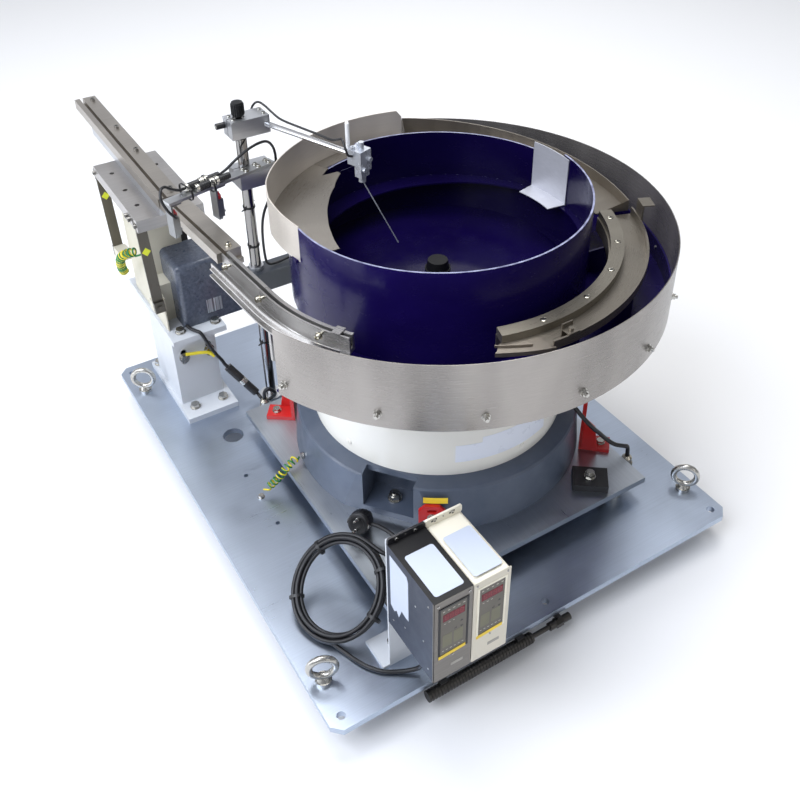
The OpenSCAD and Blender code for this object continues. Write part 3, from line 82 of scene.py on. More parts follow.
def make_camera():
    data = bpy.data.cameras.new("camera")
    data.sensor_width = 36.0
    data.lens = 43.28
    data.shift_y = -0.1185
    data.clip_end = 50.0
    camera = bpy.data.objects.new("camera", data)
    bpy.context.scene.collection.objects.link(camera)
    yaw, pitch, roll = (math.radians(a) for a in (30.873, 35.437, -0.972))
    ahead = Vector((math.sin(yaw) * math.cos(pitch), math.cos(yaw) * math.cos(pitch), -math.sin(pitch)))
    level = Vector((math.cos(yaw), -math.sin(yaw), 0.0))
    up = level.cross(ahead)
    right = math.cos(roll) * level + math.sin(roll) * up
    above = -math.sin(roll) * level + math.cos(roll) * up
    camera.matrix_world = Matrix.LocRotScale(
        at(-305.8, -715.1, 1307.7), Matrix((right, above, -ahead)).transposed().to_quaternion(), None)
    bpy.context.scene.camera = camera


def area_light(name, place, target, size, power, color=(1, 1, 1)):
    data = bpy.data.lights.new(name, "AREA")
    data.shape = "RECTANGLE"
    data.size, data.size_y = size
    data.energy = power
    data.color = color
    lamp = bpy.data.objects.new(name, data)
    bpy.context.scene.collection.objects.link(lamp)
    aim = (Vector(target) - Vector(place)).to_track_quat("-Z", "Y")
    lamp.matrix_world = Matrix.LocRotScale(Vector(place), aim, None)


def make_sky():
    """A soft room that is only seen by its light: shades by height, strength by direction."""
    world = bpy.data.worlds.new("studio")
    bpy.context.scene.world = world
    world.use_nodes = True
    sky = Nodes(world.node_tree)
    x, y, z = sky.axes(sky.node("TexCoord").outputs["Generated"])
    shades = sky.ramp(sky.math("MULTIPLY_ADD", z, 0.5, 0.5),
                      [(0.42, (0.50, 0.51, 0.53)), (0.60, (0.34, 0.36, 0.40)), (0.80, (0.66, 0.67, 0.70)),
                       (0.92, (0.50, 0.51, 0.54)), (1.0, (0.36, 0.37, 0.39))])
    levels = [(-180, 0.95), (-156, 0.62), (-138, 0.30), (-90, 0.32), (-45, 0.28), (-25, 0.20), (20, 0.28),
              (48, 0.34), (80, 0.52), (125, 0.50), (150, 0.95), (180, 0.95)]
    around = sky.spread(sky.math("ARCTAN2", y, x), 0, 1, -math.pi, math.pi)
    strength = sky.ramp(around, [(degrees / 360 + 0.5, (level,) * 3) for degrees, level in levels])
    background = sky.tree.nodes["Background"]
    sky.put(shades, background.inputs["Color"])
    sky.put(sky.math("MULTIPLY", strength, SKY_POWER), background.inputs["Strength"])


def make_stage():
    bpy.context.scene.view_settings.view_transform = "Standard"
    make_sky()
    area_light("key", (-2.2, -0.6, 3.2), (0, 0, 0.3), (2.4, 2.4), 100, (0.90, 0.96, 1.08))
    area_light("side", (-2.7, 0.7, 0.9), (0, 0, 0.4), (0.5, 2.2), 16, (0.94, 0.98, 1.05))
    area_light("top", (0.4, 0.6, 3.6), (0, 0, 0.3), (2.6, 1.6), 80)
    area_light("front", (0.9, -3.2, 1.5), (0, 0, 0.35), (1.6, 1.2), 7, (1, 0.98, 0.95))
    area_light("rear", (2.0, 2.6, 1.9), (0, 0, 0.4), (1.4, 1.4), 9)
    bpy.ops.mesh.primitive_plane_add(size=60, location=(0, 0, 0))
    floor = bpy.context.object
    floor.name = "floor"
    floor.data.materials.append(paint("floor_finish", (0.86, 0.86, 0.86), 0.75, peel=0.0, blotch=0.0))


# Materials: node finishes on a Principled shader, in the object's own metres

class Nodes:
    """Short calls that add nodes to a shader tree and link them."""

    def __init__(self, tree):
        self.tree = tree

    def put(self, value, target):
        """Links another node's output to a socket, or sets it to a number, vector or colour."""
        if isinstance(value, bpy.types.NodeSocket):
            self.tree.links.new(value, target)
        else:
            target.default_value = (*value, 1) if target.type == "RGBA" else value

    def node(self, kind, values=(), **settings):
        made = self.tree.nodes.new("ShaderNode" + kind)
        for key, value in settings.items():
            setattr(made, key, value)
        for index, value in values:
            self.put(value, made.inputs[index])
        return made

    def math(self, operation, *values):
        return self.node("Math", enumerate(values), operation=operation).outputs[0]

    def place(self):
        return self.node("TexCoord").outputs["Object"]

    def axes(self, source=None):
        return self.node("SeparateXYZ", [(0, source or self.place())]).outputs

    def polar(self):
        """Angle round the bowl's axis in rad, radius and height."""
        x, y, z = self.axes()
        dx, dy = self.math("SUBTRACT", x, AXIS.x), self.math("SUBTRACT", y, AXIS.y)
        squares = self.math("ADD", self.math("MULTIPLY", dx, dx), self.math("MULTIPLY", dy, dy))
        return self.math("ARCTAN2", dy, dx), self.math("SQRT", squares), z

    def vector(self, x, y, z):
        return self.node("CombineXYZ", enumerate((x, y, z))).outputs[0]

    def noise(self, scale, detail=3.0, source=None, rough=0.55):
        """Noise from 0 to 1; scale gives the waves per metre along x, y and z."""
        scale = scale if hasattr(scale, "__len__") else (scale,) * 3
        stretch = self.node("Mapping", [(0, source or self.place()), (3, scale)])
        return self.node("TexNoise", [("Vector", stretch.outputs[0]), ("Scale", 1.0), ("Detail", detail),
                                      ("Roughness", rough)]).outputs[0]

    def spread(self, value, low, high, start=0.3, stop=0.7):
        """Maps start..stop of a value to low..high."""
        return self.node("MapRange", [(0, value), (1, start), (2, stop), (3, low), (4, high)]).outputs[0]

    def mix(self, share, a, b):
        return self.node("Mix", [(0, share), (6, a), (7, b)], data_type="RGBA").outputs[2]

    def ramp(self, share, stops):
        """Colours by position; the ramp's own two ends become the first and last of stops."""
        made = self.node("ValToRGB", [(0, share)])
        elements = made.color_ramp.elements
        for end in (0, -1):
            elements[end].position = stops[end][0]
            elements[end].color = (*stops[end][1], 1)
        for position, color in stops[1:-1]:
            elements.new(position).color = (*color, 1)
        return made.outputs[0]


class Finish(Nodes):
    """A material whose look is built from nodes before its Principled shader."""

    def __init__(self, name, color, **sockets):
        self.material = bpy.data.materials.new(name)
        self.material.use_nodes = True
        super().__init__(self.material.node_tree)
        self.shader = self.tree.nodes["Principled BSDF"]
        self.set("Base Color", color)
        for socket, value in sockets.items():
            self.set(socket.replace("_", " ").title().replace("Ior", "IOR"), value)

    def set(self, socket, value):
        self.put(value, self.shader.inputs[socket])

    def bump(self, height, depth, strength=1.0):
        made = self.node("Bump", [("Strength", strength), ("Distance", depth), ("Height", height)])
        self.set("Normal", made.outputs[0])


def rgb(red, green, blue):
    """A colour given as on a screen, 0 to 255, made linear."""
    return tuple(((c / 255 + 0.055) / 1.055) ** 2.4 if c > 10 else c / 3294 for c in (red, green, blue))


def shade(color, factor):
    return tuple(min(1.0, c * factor) for c in color)


def paint(name, color, roughness, peel=0.25, coat=0.0, blotch=0.10, dust=0.0, peel_scale=420):
    """Painted or powder-coated metal: slow colour drift, orange peel and a little dust on top."""
    f = Finish(name, color, coat_weight=coat, coat_roughness=0.08, metallic=0.0)
    tint = f.mix(f.spread(f.noise(7, 4), 0, 1), shade(color, 1 - blotch), shade(color, 1 + blotch))
    if dust:
        tint = f.mix(f.spread(f.noise(28, 6), 0, dust), tint, (0.55, 0.55, 0.56))
    f.set("Base Color", tint)
    f.set("Roughness", f.spread(f.noise(38, 4), max(roughness - 0.06, 0.03), roughness + 0.08))
    if peel:
        f.bump(f.noise(peel_scale, 2), 0.0004 * peel, 0.6)
    return f.material


def metal(name, color, roughness, streak=(6, 260, 260), blotch=0.10, spread=0.10, anisotropic=0.0,
          metallic=1.0):
    """Ground, milled or drawn metal: fine streaks along the axis with the lowest scale."""
    f = Finish(name, color, metallic=metallic, anisotropic=anisotropic)
    lines = f.noise(streak, 4, rough=0.7)
    cloud = f.noise(9, 4)
    base = f.mix(f.spread(cloud, 0, 1), shade(color, 1 - blotch), shade(color, 1 + blotch))
    f.set("Base Color", f.mix(f.spread(lines, 0, 0.35), base, shade(color, 0.72)))
    f.set("Roughness", f.math("ADD", f.spread(lines, roughness - spread * 0.5, roughness + spread * 0.5),
                              f.spread(cloud, -0.04, 0.05)))
    f.bump(lines, STREAK_DEPTH, 0.8)
    return f.material


def brushed_round(name, color, roughness, metallic=0.9, waves=0.14):
    """Stainless sheet brushed round the bowl's axis, its colour in broad bands round the axis that are partly
    the sheet's tone and partly painted reflection bands.
    """
    f = Finish(name, color, metallic=metallic, anisotropic=0.75, anisotropic_rotation=0.25)
    turn, radius, z = f.polar()
    along, fine, coarse = 7.0, 900.0, 3.0
    lines = f.noise(1, 4, f.vector(f.math("MULTIPLY", turn, along), f.math("MULTIPLY", radius, fine),
                                   f.math("MULTIPLY", z, fine)), 0.75)
    bands = f.noise(1, 2, f.vector(f.math("MULTIPLY", turn, coarse), 0.0, f.math("MULTIPLY", z, coarse)))
    # Painted reflection bands, partly the sheet's tone: the colour goes lighter and darker with the bands'
    # noise round the axis, by as much as waves.
    base = f.mix(f.spread(bands, 0, 1), shade(color, 1 - waves), shade(color, 1 + waves))
    f.set("Base Color", f.mix(f.spread(lines, 0, 0.30), base, shade(color, 0.70)))
    f.set("Roughness", f.math("ADD", f.spread(lines, roughness - 0.05, roughness + 0.07),
                              f.spread(bands, -0.03, 0.04)))
    f.bump(lines, BRUSH_DEPTH, 0.8)
    f.set("Tangent", f.vector(f.math("MULTIPLY", f.math("SINE", turn), -1.0), f.math("COSINE", turn), 0.0))
    return f.material


def plastic(name, color, roughness, grain=0.3, grain_scale=1500, specular=0.5):
    f = Finish(name, color, specular_ior_level=specular)
    f.set("Base Color", f.mix(f.spread(f.noise(30, 3), 0, 1), shade(color, 0.86), shade(color, 1.15)))
    f.set("Roughness", f.spread(f.noise(60, 4), roughness - 0.05, roughness + 0.08))
    f.bump(f.noise(grain_scale, 2), 0.00012 * grain, 0.7)
    return f.material


def bowl_coating():
    """Royal blue gloss coating, with a painted highlight along the upward face of its rim and painted shade
    inside the wall's radius.
    """
    blue = (0.0075, 0.0032, 0.062)
    f = Finish("bowl_coating", blue, coat_weight=0.06, coat_roughness=0.08, specular_ior_level=0.22)
    normal = f.axes(f.node("NewGeometry").outputs["Normal"])[2]
    turn, radius, z = f.polar()
    high = f.math("GREATER_THAN", z, BOWL_LOW.z + 0.06)
    thin = f.math("LESS_THAN", f.math("ABSOLUTE", f.math("SUBTRACT", radius, 0.2485)), 0.0020)
    rim = f.math("MULTIPLY", f.math("GREATER_THAN", normal, 0.8), f.math("MULTIPLY", high, thin))
    # Painted highlight: the rim's upward face is made pale blue in patches.
    painted_rim_highlight = f.math("MULTIPLY", rim, f.spread(f.noise(60, 5), 0.25, 0.85, 0.3, 0.65))
    drift = f.spread(f.noise((5, 5, 9), 4), 0, 1)
    # Painted shade: inside the wall's radius the blue is mixed from darker shades than outside.
    shaded_inside = f.math("LESS_THAN", radius, 0.2482)
    base = f.mix(drift, f.mix(shaded_inside, shade(blue, 0.80), shade(blue, 0.38)),
                 f.mix(shaded_inside, shade(blue, 1.25), shade(blue, 0.62)))
    f.set("Base Color", f.mix(painted_rim_highlight, base, (0.40, 0.42, 0.58)))
    f.set("Roughness", f.spread(f.noise((30, 30, 60), 4), 0.17, 0.30))
    f.bump(f.noise(60, 2), 0.00004, 0.3)
    return f.material


# Mesh helpers

def add_object(name, data, body, materials):
    piece = bpy.data.objects.new(name, data)
    bpy.context.scene.collection.objects.link(piece)
    for material in materials if isinstance(materials, (list, tuple)) else [materials]:
        data.materials.append(material)
    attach(piece, body)
    return piece


def from_bmesh(name, bm, body, materials, smooth=35):
    data = bpy.data.meshes.new(name)
    bmesh.ops.recalc_face_normals(bm, faces=bm.faces)
    limit = math.radians(smooth)
    for edge in bm.edges:
        edge.smooth = len(edge.link_faces) == 2 and edge.calc_face_angle() < limit
    for face in bm.faces:
        face.smooth = True
    bm.to_mesh(data)
    bm.free()
    return add_object(name, data, body, materials)


def frame_of(origin, normal, up=None):
    """Matrix at origin whose z is normal and whose y is nearest to up, or to Y if the normal is upright."""
    z = Vector(normal).normalized()
    if up is None:
        up = (0, 0, 1) if abs(z.z) < 0.9 else (0, 1, 0)
    x = Vector(up).cross(z).normalized()
    return Matrix.Translation(origin) @ Matrix((x, z.cross(x), z)).transposed().to_4x4()


def moved(matrix, x, y, z):
    """The frame moved along its own axes, in mm."""
    return matrix @ Matrix.Translation(Vector((x, y, z)) * MM)


def turned(matrix, degrees, axis="Z"):
    """The frame turned about one of its own axes."""
    return matrix @ Matrix.Rotation(math.radians(degrees), 4, axis)


def circle(count):
    """Angles in equal steps round a full turn."""
    return [2 * math.pi * k / count for k in range(count)]


def hexagon(radius):
    return [(radius * math.cos(turn), radius * math.sin(turn)) for turn in circle(6)]


def rounded(width, height, radius, steps=5):
    """Outline of a rounded rectangle round the origin."""
    points = []
    for cx, cy, first in ((1, 1, 0), (-1, 1, 90), (-1, -1, 180), (1, -1, 270)):
        for k in range(steps + 1):
            turn = math.radians(first + 90 * k / steps)
            points.append((cx * (width / 2 - radius) + radius * math.cos(turn),
                           cy * (height / 2 - radius) + radius * math.sin(turn)))
    return points


def skin(bm, loops, material=0, closed=False):
    """Faces over loops of points. If closed, the last loop joins the first, else both ends get a cap."""
    pick = material if callable(material) else lambda k: material
    loops = [[bm.verts.new(point) for point in loop] for loop in loops]
    for a, b in zip(loops, loops[1:] + loops[:1] if closed else loops[1:]):
        for k in range(len(a)):
            n = (k + 1) % len(a)
            bm.faces.new((a[k], a[n], b[n], b[k])).material_index = pick(k)
    if not closed:
        for cap in (loops[0][::-1], loops[-1]):
            bm.faces.new(cap).material_index = pick(0)


def add_band(bm, ring, middle, half, grow):
    """A closed band: ring is its inner outline round middle, half its half width, grow its outer size."""
    skin(bm, [[middle + (p - middle) * scale + half * side for p in ring]
              for scale, side in ((1.0, -1), (grow, -1), (grow, 1), (1.0, 1))], closed=True)


def add_prism(bm, outline, matrix, low, high, bevel=0.0, material=0):
    """Adds a plate with this outline between two heights, in mm, its top edge eased by bevel."""
    levels = [(low, 1.0), (high - bevel, 1.0)]
    if bevel:
        levels.append((high, 1.0 - bevel / max(max(abs(x), abs(y)) for x, y in outline)))
    skin(bm, [[matrix @ (Vector((x * s, y * s, h)) * MM) for x, y in outline] for h, s in levels], material)


def add_lathe(bm, profile, matrix, count=32, material=0):
    """Adds a closed body of revolution; profile is a list of (radius, height) in mm, from axis to axis."""
    rings = []
    for radius, z in profile:
        points = [(radius * math.cos(t), radius * math.sin(t), z) for t in circle(count if radius else 1)]
        rings.append([bm.verts.new(matrix @ (Vector(p) * MM)) for p in points])
    for a, b in zip(rings, rings[1:]):
        for k in range(count):
            n = (k + 1) % count
            corners = [a[k % len(a)], a[n % len(a)], b[n % len(b)], b[k % len(b)]]
            face = list(dict.fromkeys(corners))
            if len(face) > 2:
                bm.faces.new(face).material_index = material


def smooth_path(points, steps=8):
    """Catmull-Rom curve through the points."""
    p = [Vector(q) for q in points]
    p = [p[0] + (p[0] - p[1])] + p + [p[-1] + (p[-1] - p[-2])]
    out = []
    for i in range(1, len(p) - 2):
        a, b, c, d = p[i - 1:i + 3]
        for k in range(steps):
            t = k / steps
            out.append(0.5 * ((2 * b) + (c - a) * t + (2 * a - 5 * b + 4 * c - d) * t * t
                              + (3 * b - a - 3 * c + d) * t ** 3))
    out.append(p[-2])
    return out


def path_length(points):
    return sum((b - a).length for a, b in zip(points, points[1:]))


def tube_rings(points, radius, count):
    """Rings of points round a path, carried along it without twisting."""
    normal = None
    rings = []
    for i, point in enumerate(points):
        ahead = (points[min(i + 1, len(points) - 1)] - points[max(i - 1, 0)]).normalized()
        if normal is None:
            normal = ahead.orthogonal().normalized()
        normal = (normal - ahead * normal.dot(ahead)).normalized()
        side = ahead.cross(normal)
        rings.append([point + radius * (math.cos(t) * normal + math.sin(t) * side) for t in circle(count)])
    return rings


def add_tube(bm, points, radius, count=12, material=0):
    skin(bm, tube_rings(points, radius, count), material)


def cord_piece(name, points, diameter, material, slot, **facts):
    """A cord as one open spline with a round section."""
    data = bpy.data.curves.new(name, "CURVE")
    data.dimensions = "3D"
    data.bevel_depth = diameter / 2
    data.bevel_resolution = 3
    data.use_fill_caps = True
    spline = data.splines.new("POLY")
    spline.points.add(len(points) - 1)
    for knot, point in zip(spline.points, points):
        knot.co = (*point, 1)
    spline.use_smooth = True
    piece = add_object(name, data, "base", material)
    return piece


# Cords: the routes are those of the CAD part, in mm from the plate's corner

COIL_C = (112, 186, 54)
COIL_R, COIL_TILT, COIL_TURN = 76.0, math.radians(-36), math.radians(22)
LEAD = [(158, 12, 110), (160, 14, 80), (161, 16, 48), (160, 18, 24), (154, 24, 10), (132, 36, 5),
        (110, 50, 5), (94, 70, 5), (83, 94, 4), (75, 116, 4)]
PLUG_LEAD = [(186, 180, 100), (197, 170, 94), (211, 165, 87), (226, 171, 79), (234, 187, 73),
             (235, 208, 70), (230, 229, 72), (221, 246, 75), (213, 257, 76)]
LINEAR_A = [(114, 805, 185), (118, 792, 184), (123, 782, 184), (130, 771, 181), (141, 768, 150),
            (152, 769, 123), (163, 772, 101), (168, 771.7, 88), (172, 768, 82)]
LINEAR_B = [(211.92, 731.04, 21.99), (214.4, 728.7, 18.3), (216, 720, 15), (217, 711, 15), (223, 702, 18),
            (232, 694, 28), (234, 684, 44), (227, 680, 58), (218, 681, 64), (212, 684, 56), (211, 685, 42)]
DRIVE = [(607, 256, 200), (612, 244, 182), (621, 228, 158), (637, 206, 130), (655, 198, 108),
         (669, 193, 91), (683, 184, 78), (700, 178, 70), (711, 178, 62), (714, 178, 42)]
SENSOR_A = [(117, 684, 544), (106, 680, 546), (92, 676, 554), (80, 670, 564), (70, 660, 564),
            (66, 650, 552), (72, 646, 534), (82, 650, 518), (88, 658, 510), (89, 666, 510)]
SENSOR_B = [(185, 698, 544), (200, 700, 550), (218, 700, 562), (240, 700, 574), (264, 706, 578),
            (286, 716, 572), (300, 724, 552), (302, 724, 526), (294, 720, 496), (278, 714, 464),
            (262, 710, 436), (256, 710, 400), (256, 710, 350), (262, 712, 330), (280, 714, 325),
            (310, 716, 328), (326, 718, 328), (335, 719, 324), (337, 719, 314)]
LEVEL = [(250, 745, 590), (262, 747, 598), (272, 749, 612), (280, 750, 628), (287, 742, 636),
         (292, 726, 634), (296, 706, 628), (302, 682, 622), (317, 640, 620), (330, 600, 620),
         (336, 568, 622), (336, 544, 632), (334, 526, 640), (332, 513, 632), (335, 510, 619),
         (343, 511, 614)]
EARTH_BASE = [(185, 474, 66), (174, 470, 69), (158, 466, 63), (142, 468, 46), (126, 474, 28),
              (112, 480, 17)]
EARTH_LINEAR = [(80, 868, 337), (69, 868, 337), (57, 880, 335), (46, 902, 322), (42, 926, 300),
                (46, 952, 270), (54, 980, 240), (64, 1004, 216)]


def places(points):
    return [at(*p) for p in points]


def coil_point(turn, radial, axial):
    """A point of the coil at an angle, off its centre line outwards and along its axis, in mm."""
    x, y = (COIL_R + radial) * math.cos(turn), (COIL_R + radial) * math.sin(turn)
    x, z = (x * math.cos(COIL_TILT) + axial * math.sin(COIL_TILT),
            -x * math.sin(COIL_TILT) + axial * math.cos(COIL_TILT))
    x, y = (x * math.cos(COIL_TURN) - y * math.sin(COIL_TURN),
            x * math.sin(COIL_TURN) + y * math.cos(COIL_TURN))
    return COIL_C[0] + x, COIL_C[1] + y, max(COIL_C[2] + z, 3.7)


def mains_route():
    """From the controller to the coil, its turns as a twisted bundle of five strands, then to the plug."""
    first, last = math.radians(203), math.radians(2 - 4 * 360)
    strands, steps = 5, 4 * 24 + 13
    turns = []
    for k in range(steps + 1):
        turn = first + (last - first) * k / steps
        phase = (turn - first) / strands + math.radians(-20)
        radial = 6.9 * math.cos(phase) + 1.6 * math.sin(2 * turn + 0.7)
        axial = 6.2 * math.sin(phase) + 1.2 + 1.2 * math.sin(3 * turn)
        turns.append(coil_point(turn, radial, axial))
    return smooth_path(places(LEAD + turns + PLUG_LEAD), 5)


def coil_ties():
    """Four nylon bands round the bundle of the coil."""
    bm = bmesh.new()
    for angle in (60, 128, 262, 318):
        turn = math.radians(angle)
        ring = [at(*coil_point(turn, 11.6 * math.cos(a), 10.9 * math.sin(a))) for a in circle(24)]
        before, middle, after = (at(*coil_point(turn + step, 0, 0)) for step in (-0.02, 0, 0.02))
        add_band(bm, ring, middle, (after - before).normalized() * 2.4 * MM, 1.09)
    from_bmesh("coil_ties", bm, "base", plastic("tie_nylon", rgb(28, 28, 30), 0.4))


def round_plug():
    """Moulded round plug: two pins, grip ribs, the earth clips at its sides."""
    matrix = frame_of(at(201, 272, 76), (-0.696, -0.544, 0.469))
    black, steel = 0, 1
    bm = bmesh.new()
    add_lathe(bm, [(0, -34), (7.0, -34), (8.0, -33.4), (8.4, -31), (8.1, -29), (9.2, -28.2), (9.3, -26.4),
                   (8.8, -25.6), (10.4, -24.6), (10.6, -22.8), (10.2, -22), (13.0, -18.6), (16.6, -14.6),
                   (18.4, -10), (19.0, -5), (19.0, 12.2), (18.6, 13.4), (17.9, 13.9), (17.9, 15.2),
                   (17.3, 16.6), (16.5, 17), (11, 17), (10.4, 16.4), (0, 16.4)], matrix, 48, black)
    for k in range(24):
        turn = 15 * (k + 0.5)
        if abs(math.sin(math.radians(turn))) > 0.34:
            rib = moved(turned(matrix, turn), 18.7, 0, 1.5)
            add_prism(bm, rounded(2.0, 1.1, 0.5, 3), rib, -8, 8, 0.0, black)
    for side in (-1, 1):
        add_lathe(bm, [(0, 16), (2.7, 16), (2.7, 24), (2.4, 24.2), (2.4, 34.6), (2.0, 35.6), (0, 36)],
                  moved(matrix, 0, side * 9.5, 0), 20, steel)
        add_prism(bm, rounded(1.5, 7, 0.5, 2), moved(matrix, side * 18.6, 0, 0), -6, 15, 0.0, steel)
    plug = from_bmesh("round_plug", bm, "base", [plastic("plug_black", rgb(26, 26, 28), 0.32, grain=0.6),
                                                 metal("plug_pins", rgb(206, 204, 198), 0.22)])
    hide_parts("mains_plug")
    return plug


def helix_wire(name, route, wire, radius, pitch, slot):
    """A curly earth wire: half green, half yellow along its length, straight for a little at both ends."""
    line = smooth_path(places(route), 12)
    total = path_length(line)
    wire, radius, pitch = wire * MM, radius * MM, pitch * MM
    ends = 0.10 * total
    rings = tube_rings(line, 1.0, 4)
    marks, run = [0.0], 0.0
    for a, b in zip(line, line[1:]):
        run += (b - a).length
        marks.append(run)
    turns = (total - 2 * ends) / pitch
    steps = int(turns * 14) + 12
    points = []
    index = 0
    for k in range(steps + 1):
        s = total * k / steps
        while index < len(line) - 2 and marks[index + 1] < s:
            index += 1
        share = min(1.0, (s - marks[index]) / max(marks[index + 1] - marks[index], 1e-9))
        spot = line[index].lerp(line[index + 1], share)
        u = (rings[index][0] - line[index]).lerp(rings[index + 1][0] - line[index + 1], share).normalized()
        v = (rings[index][1] - line[index]).lerp(rings[index + 1][1] - line[index + 1], share).normalized()
        swell = radius * min(1.0, s / ends, (total - s) / ends)
        turn = 2 * math.pi * turns * max(0.0, min(1.0, (s - ends) / (total - 2 * ends)))
        points.append(spot + swell * (math.cos(turn) * u + math.sin(turn) * v))
    bm = bmesh.new()
    add_tube(bm, points, wire / 2, 12, lambda k: int(k > 6))
    looks = [plastic("earth_green", rgb(34, 120, 62), 0.36, grain=0.1),
             plastic("earth_yellow", rgb(226, 208, 48), 0.36, grain=0.1)]
    piece = from_bmesh(name, bm, "base", looks, 60)
    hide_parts(slot)


def make_cords():
    black = plastic("cable_sheath", rgb(27, 27, 30), 0.42, grain=0.5, specular=0.5)
    coil_ties()
    plug = round_plug()
    mains = cord_piece("mains_cord", mains_route(), 7 * MM, black, "mains_coil", far_end="plug",
                       stiffness="medium", lay="coiled", with_pieces=[plug])
    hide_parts("mains_coil", "mains_lead")
    for name, points, width, node in (("linear_cable_upper", LINEAR_A, 7, "linear_cable"),
                                      ("linear_cable_lower", LINEAR_B, 7, "linear_cable"),
                                      ("drive_cable_run", DRIVE, 8, "drive_cable"),
                                      ("sensor_cable_loop", SENSOR_A, 5, "sensor_cable"),
                                      ("sensor_cable_run", SENSOR_B, 5, "sensor_cable"),
                                      ("level_cable_run", LEVEL, 4, "level_cable")):
        cord = cord_piece(name, smooth_path(places(points), 6), width * MM, black, node,
                          far_end="object", stiffness="medium", lay="hanging")
        if name in ("linear_cable_upper", "drive_cable_run", "sensor_cable_loop", "level_cable_run"):
            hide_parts(node)
    helix_wire("earth_wire_of_base", EARTH_BASE, 3.4, 6.2, 8.5, "earth_wire_base")
    helix_wire("earth_wire_of_linear", EARTH_LINEAR, 4.0, 7.6, 10.5, "earth_wire_linear")


# Finishes of the CAD nodes

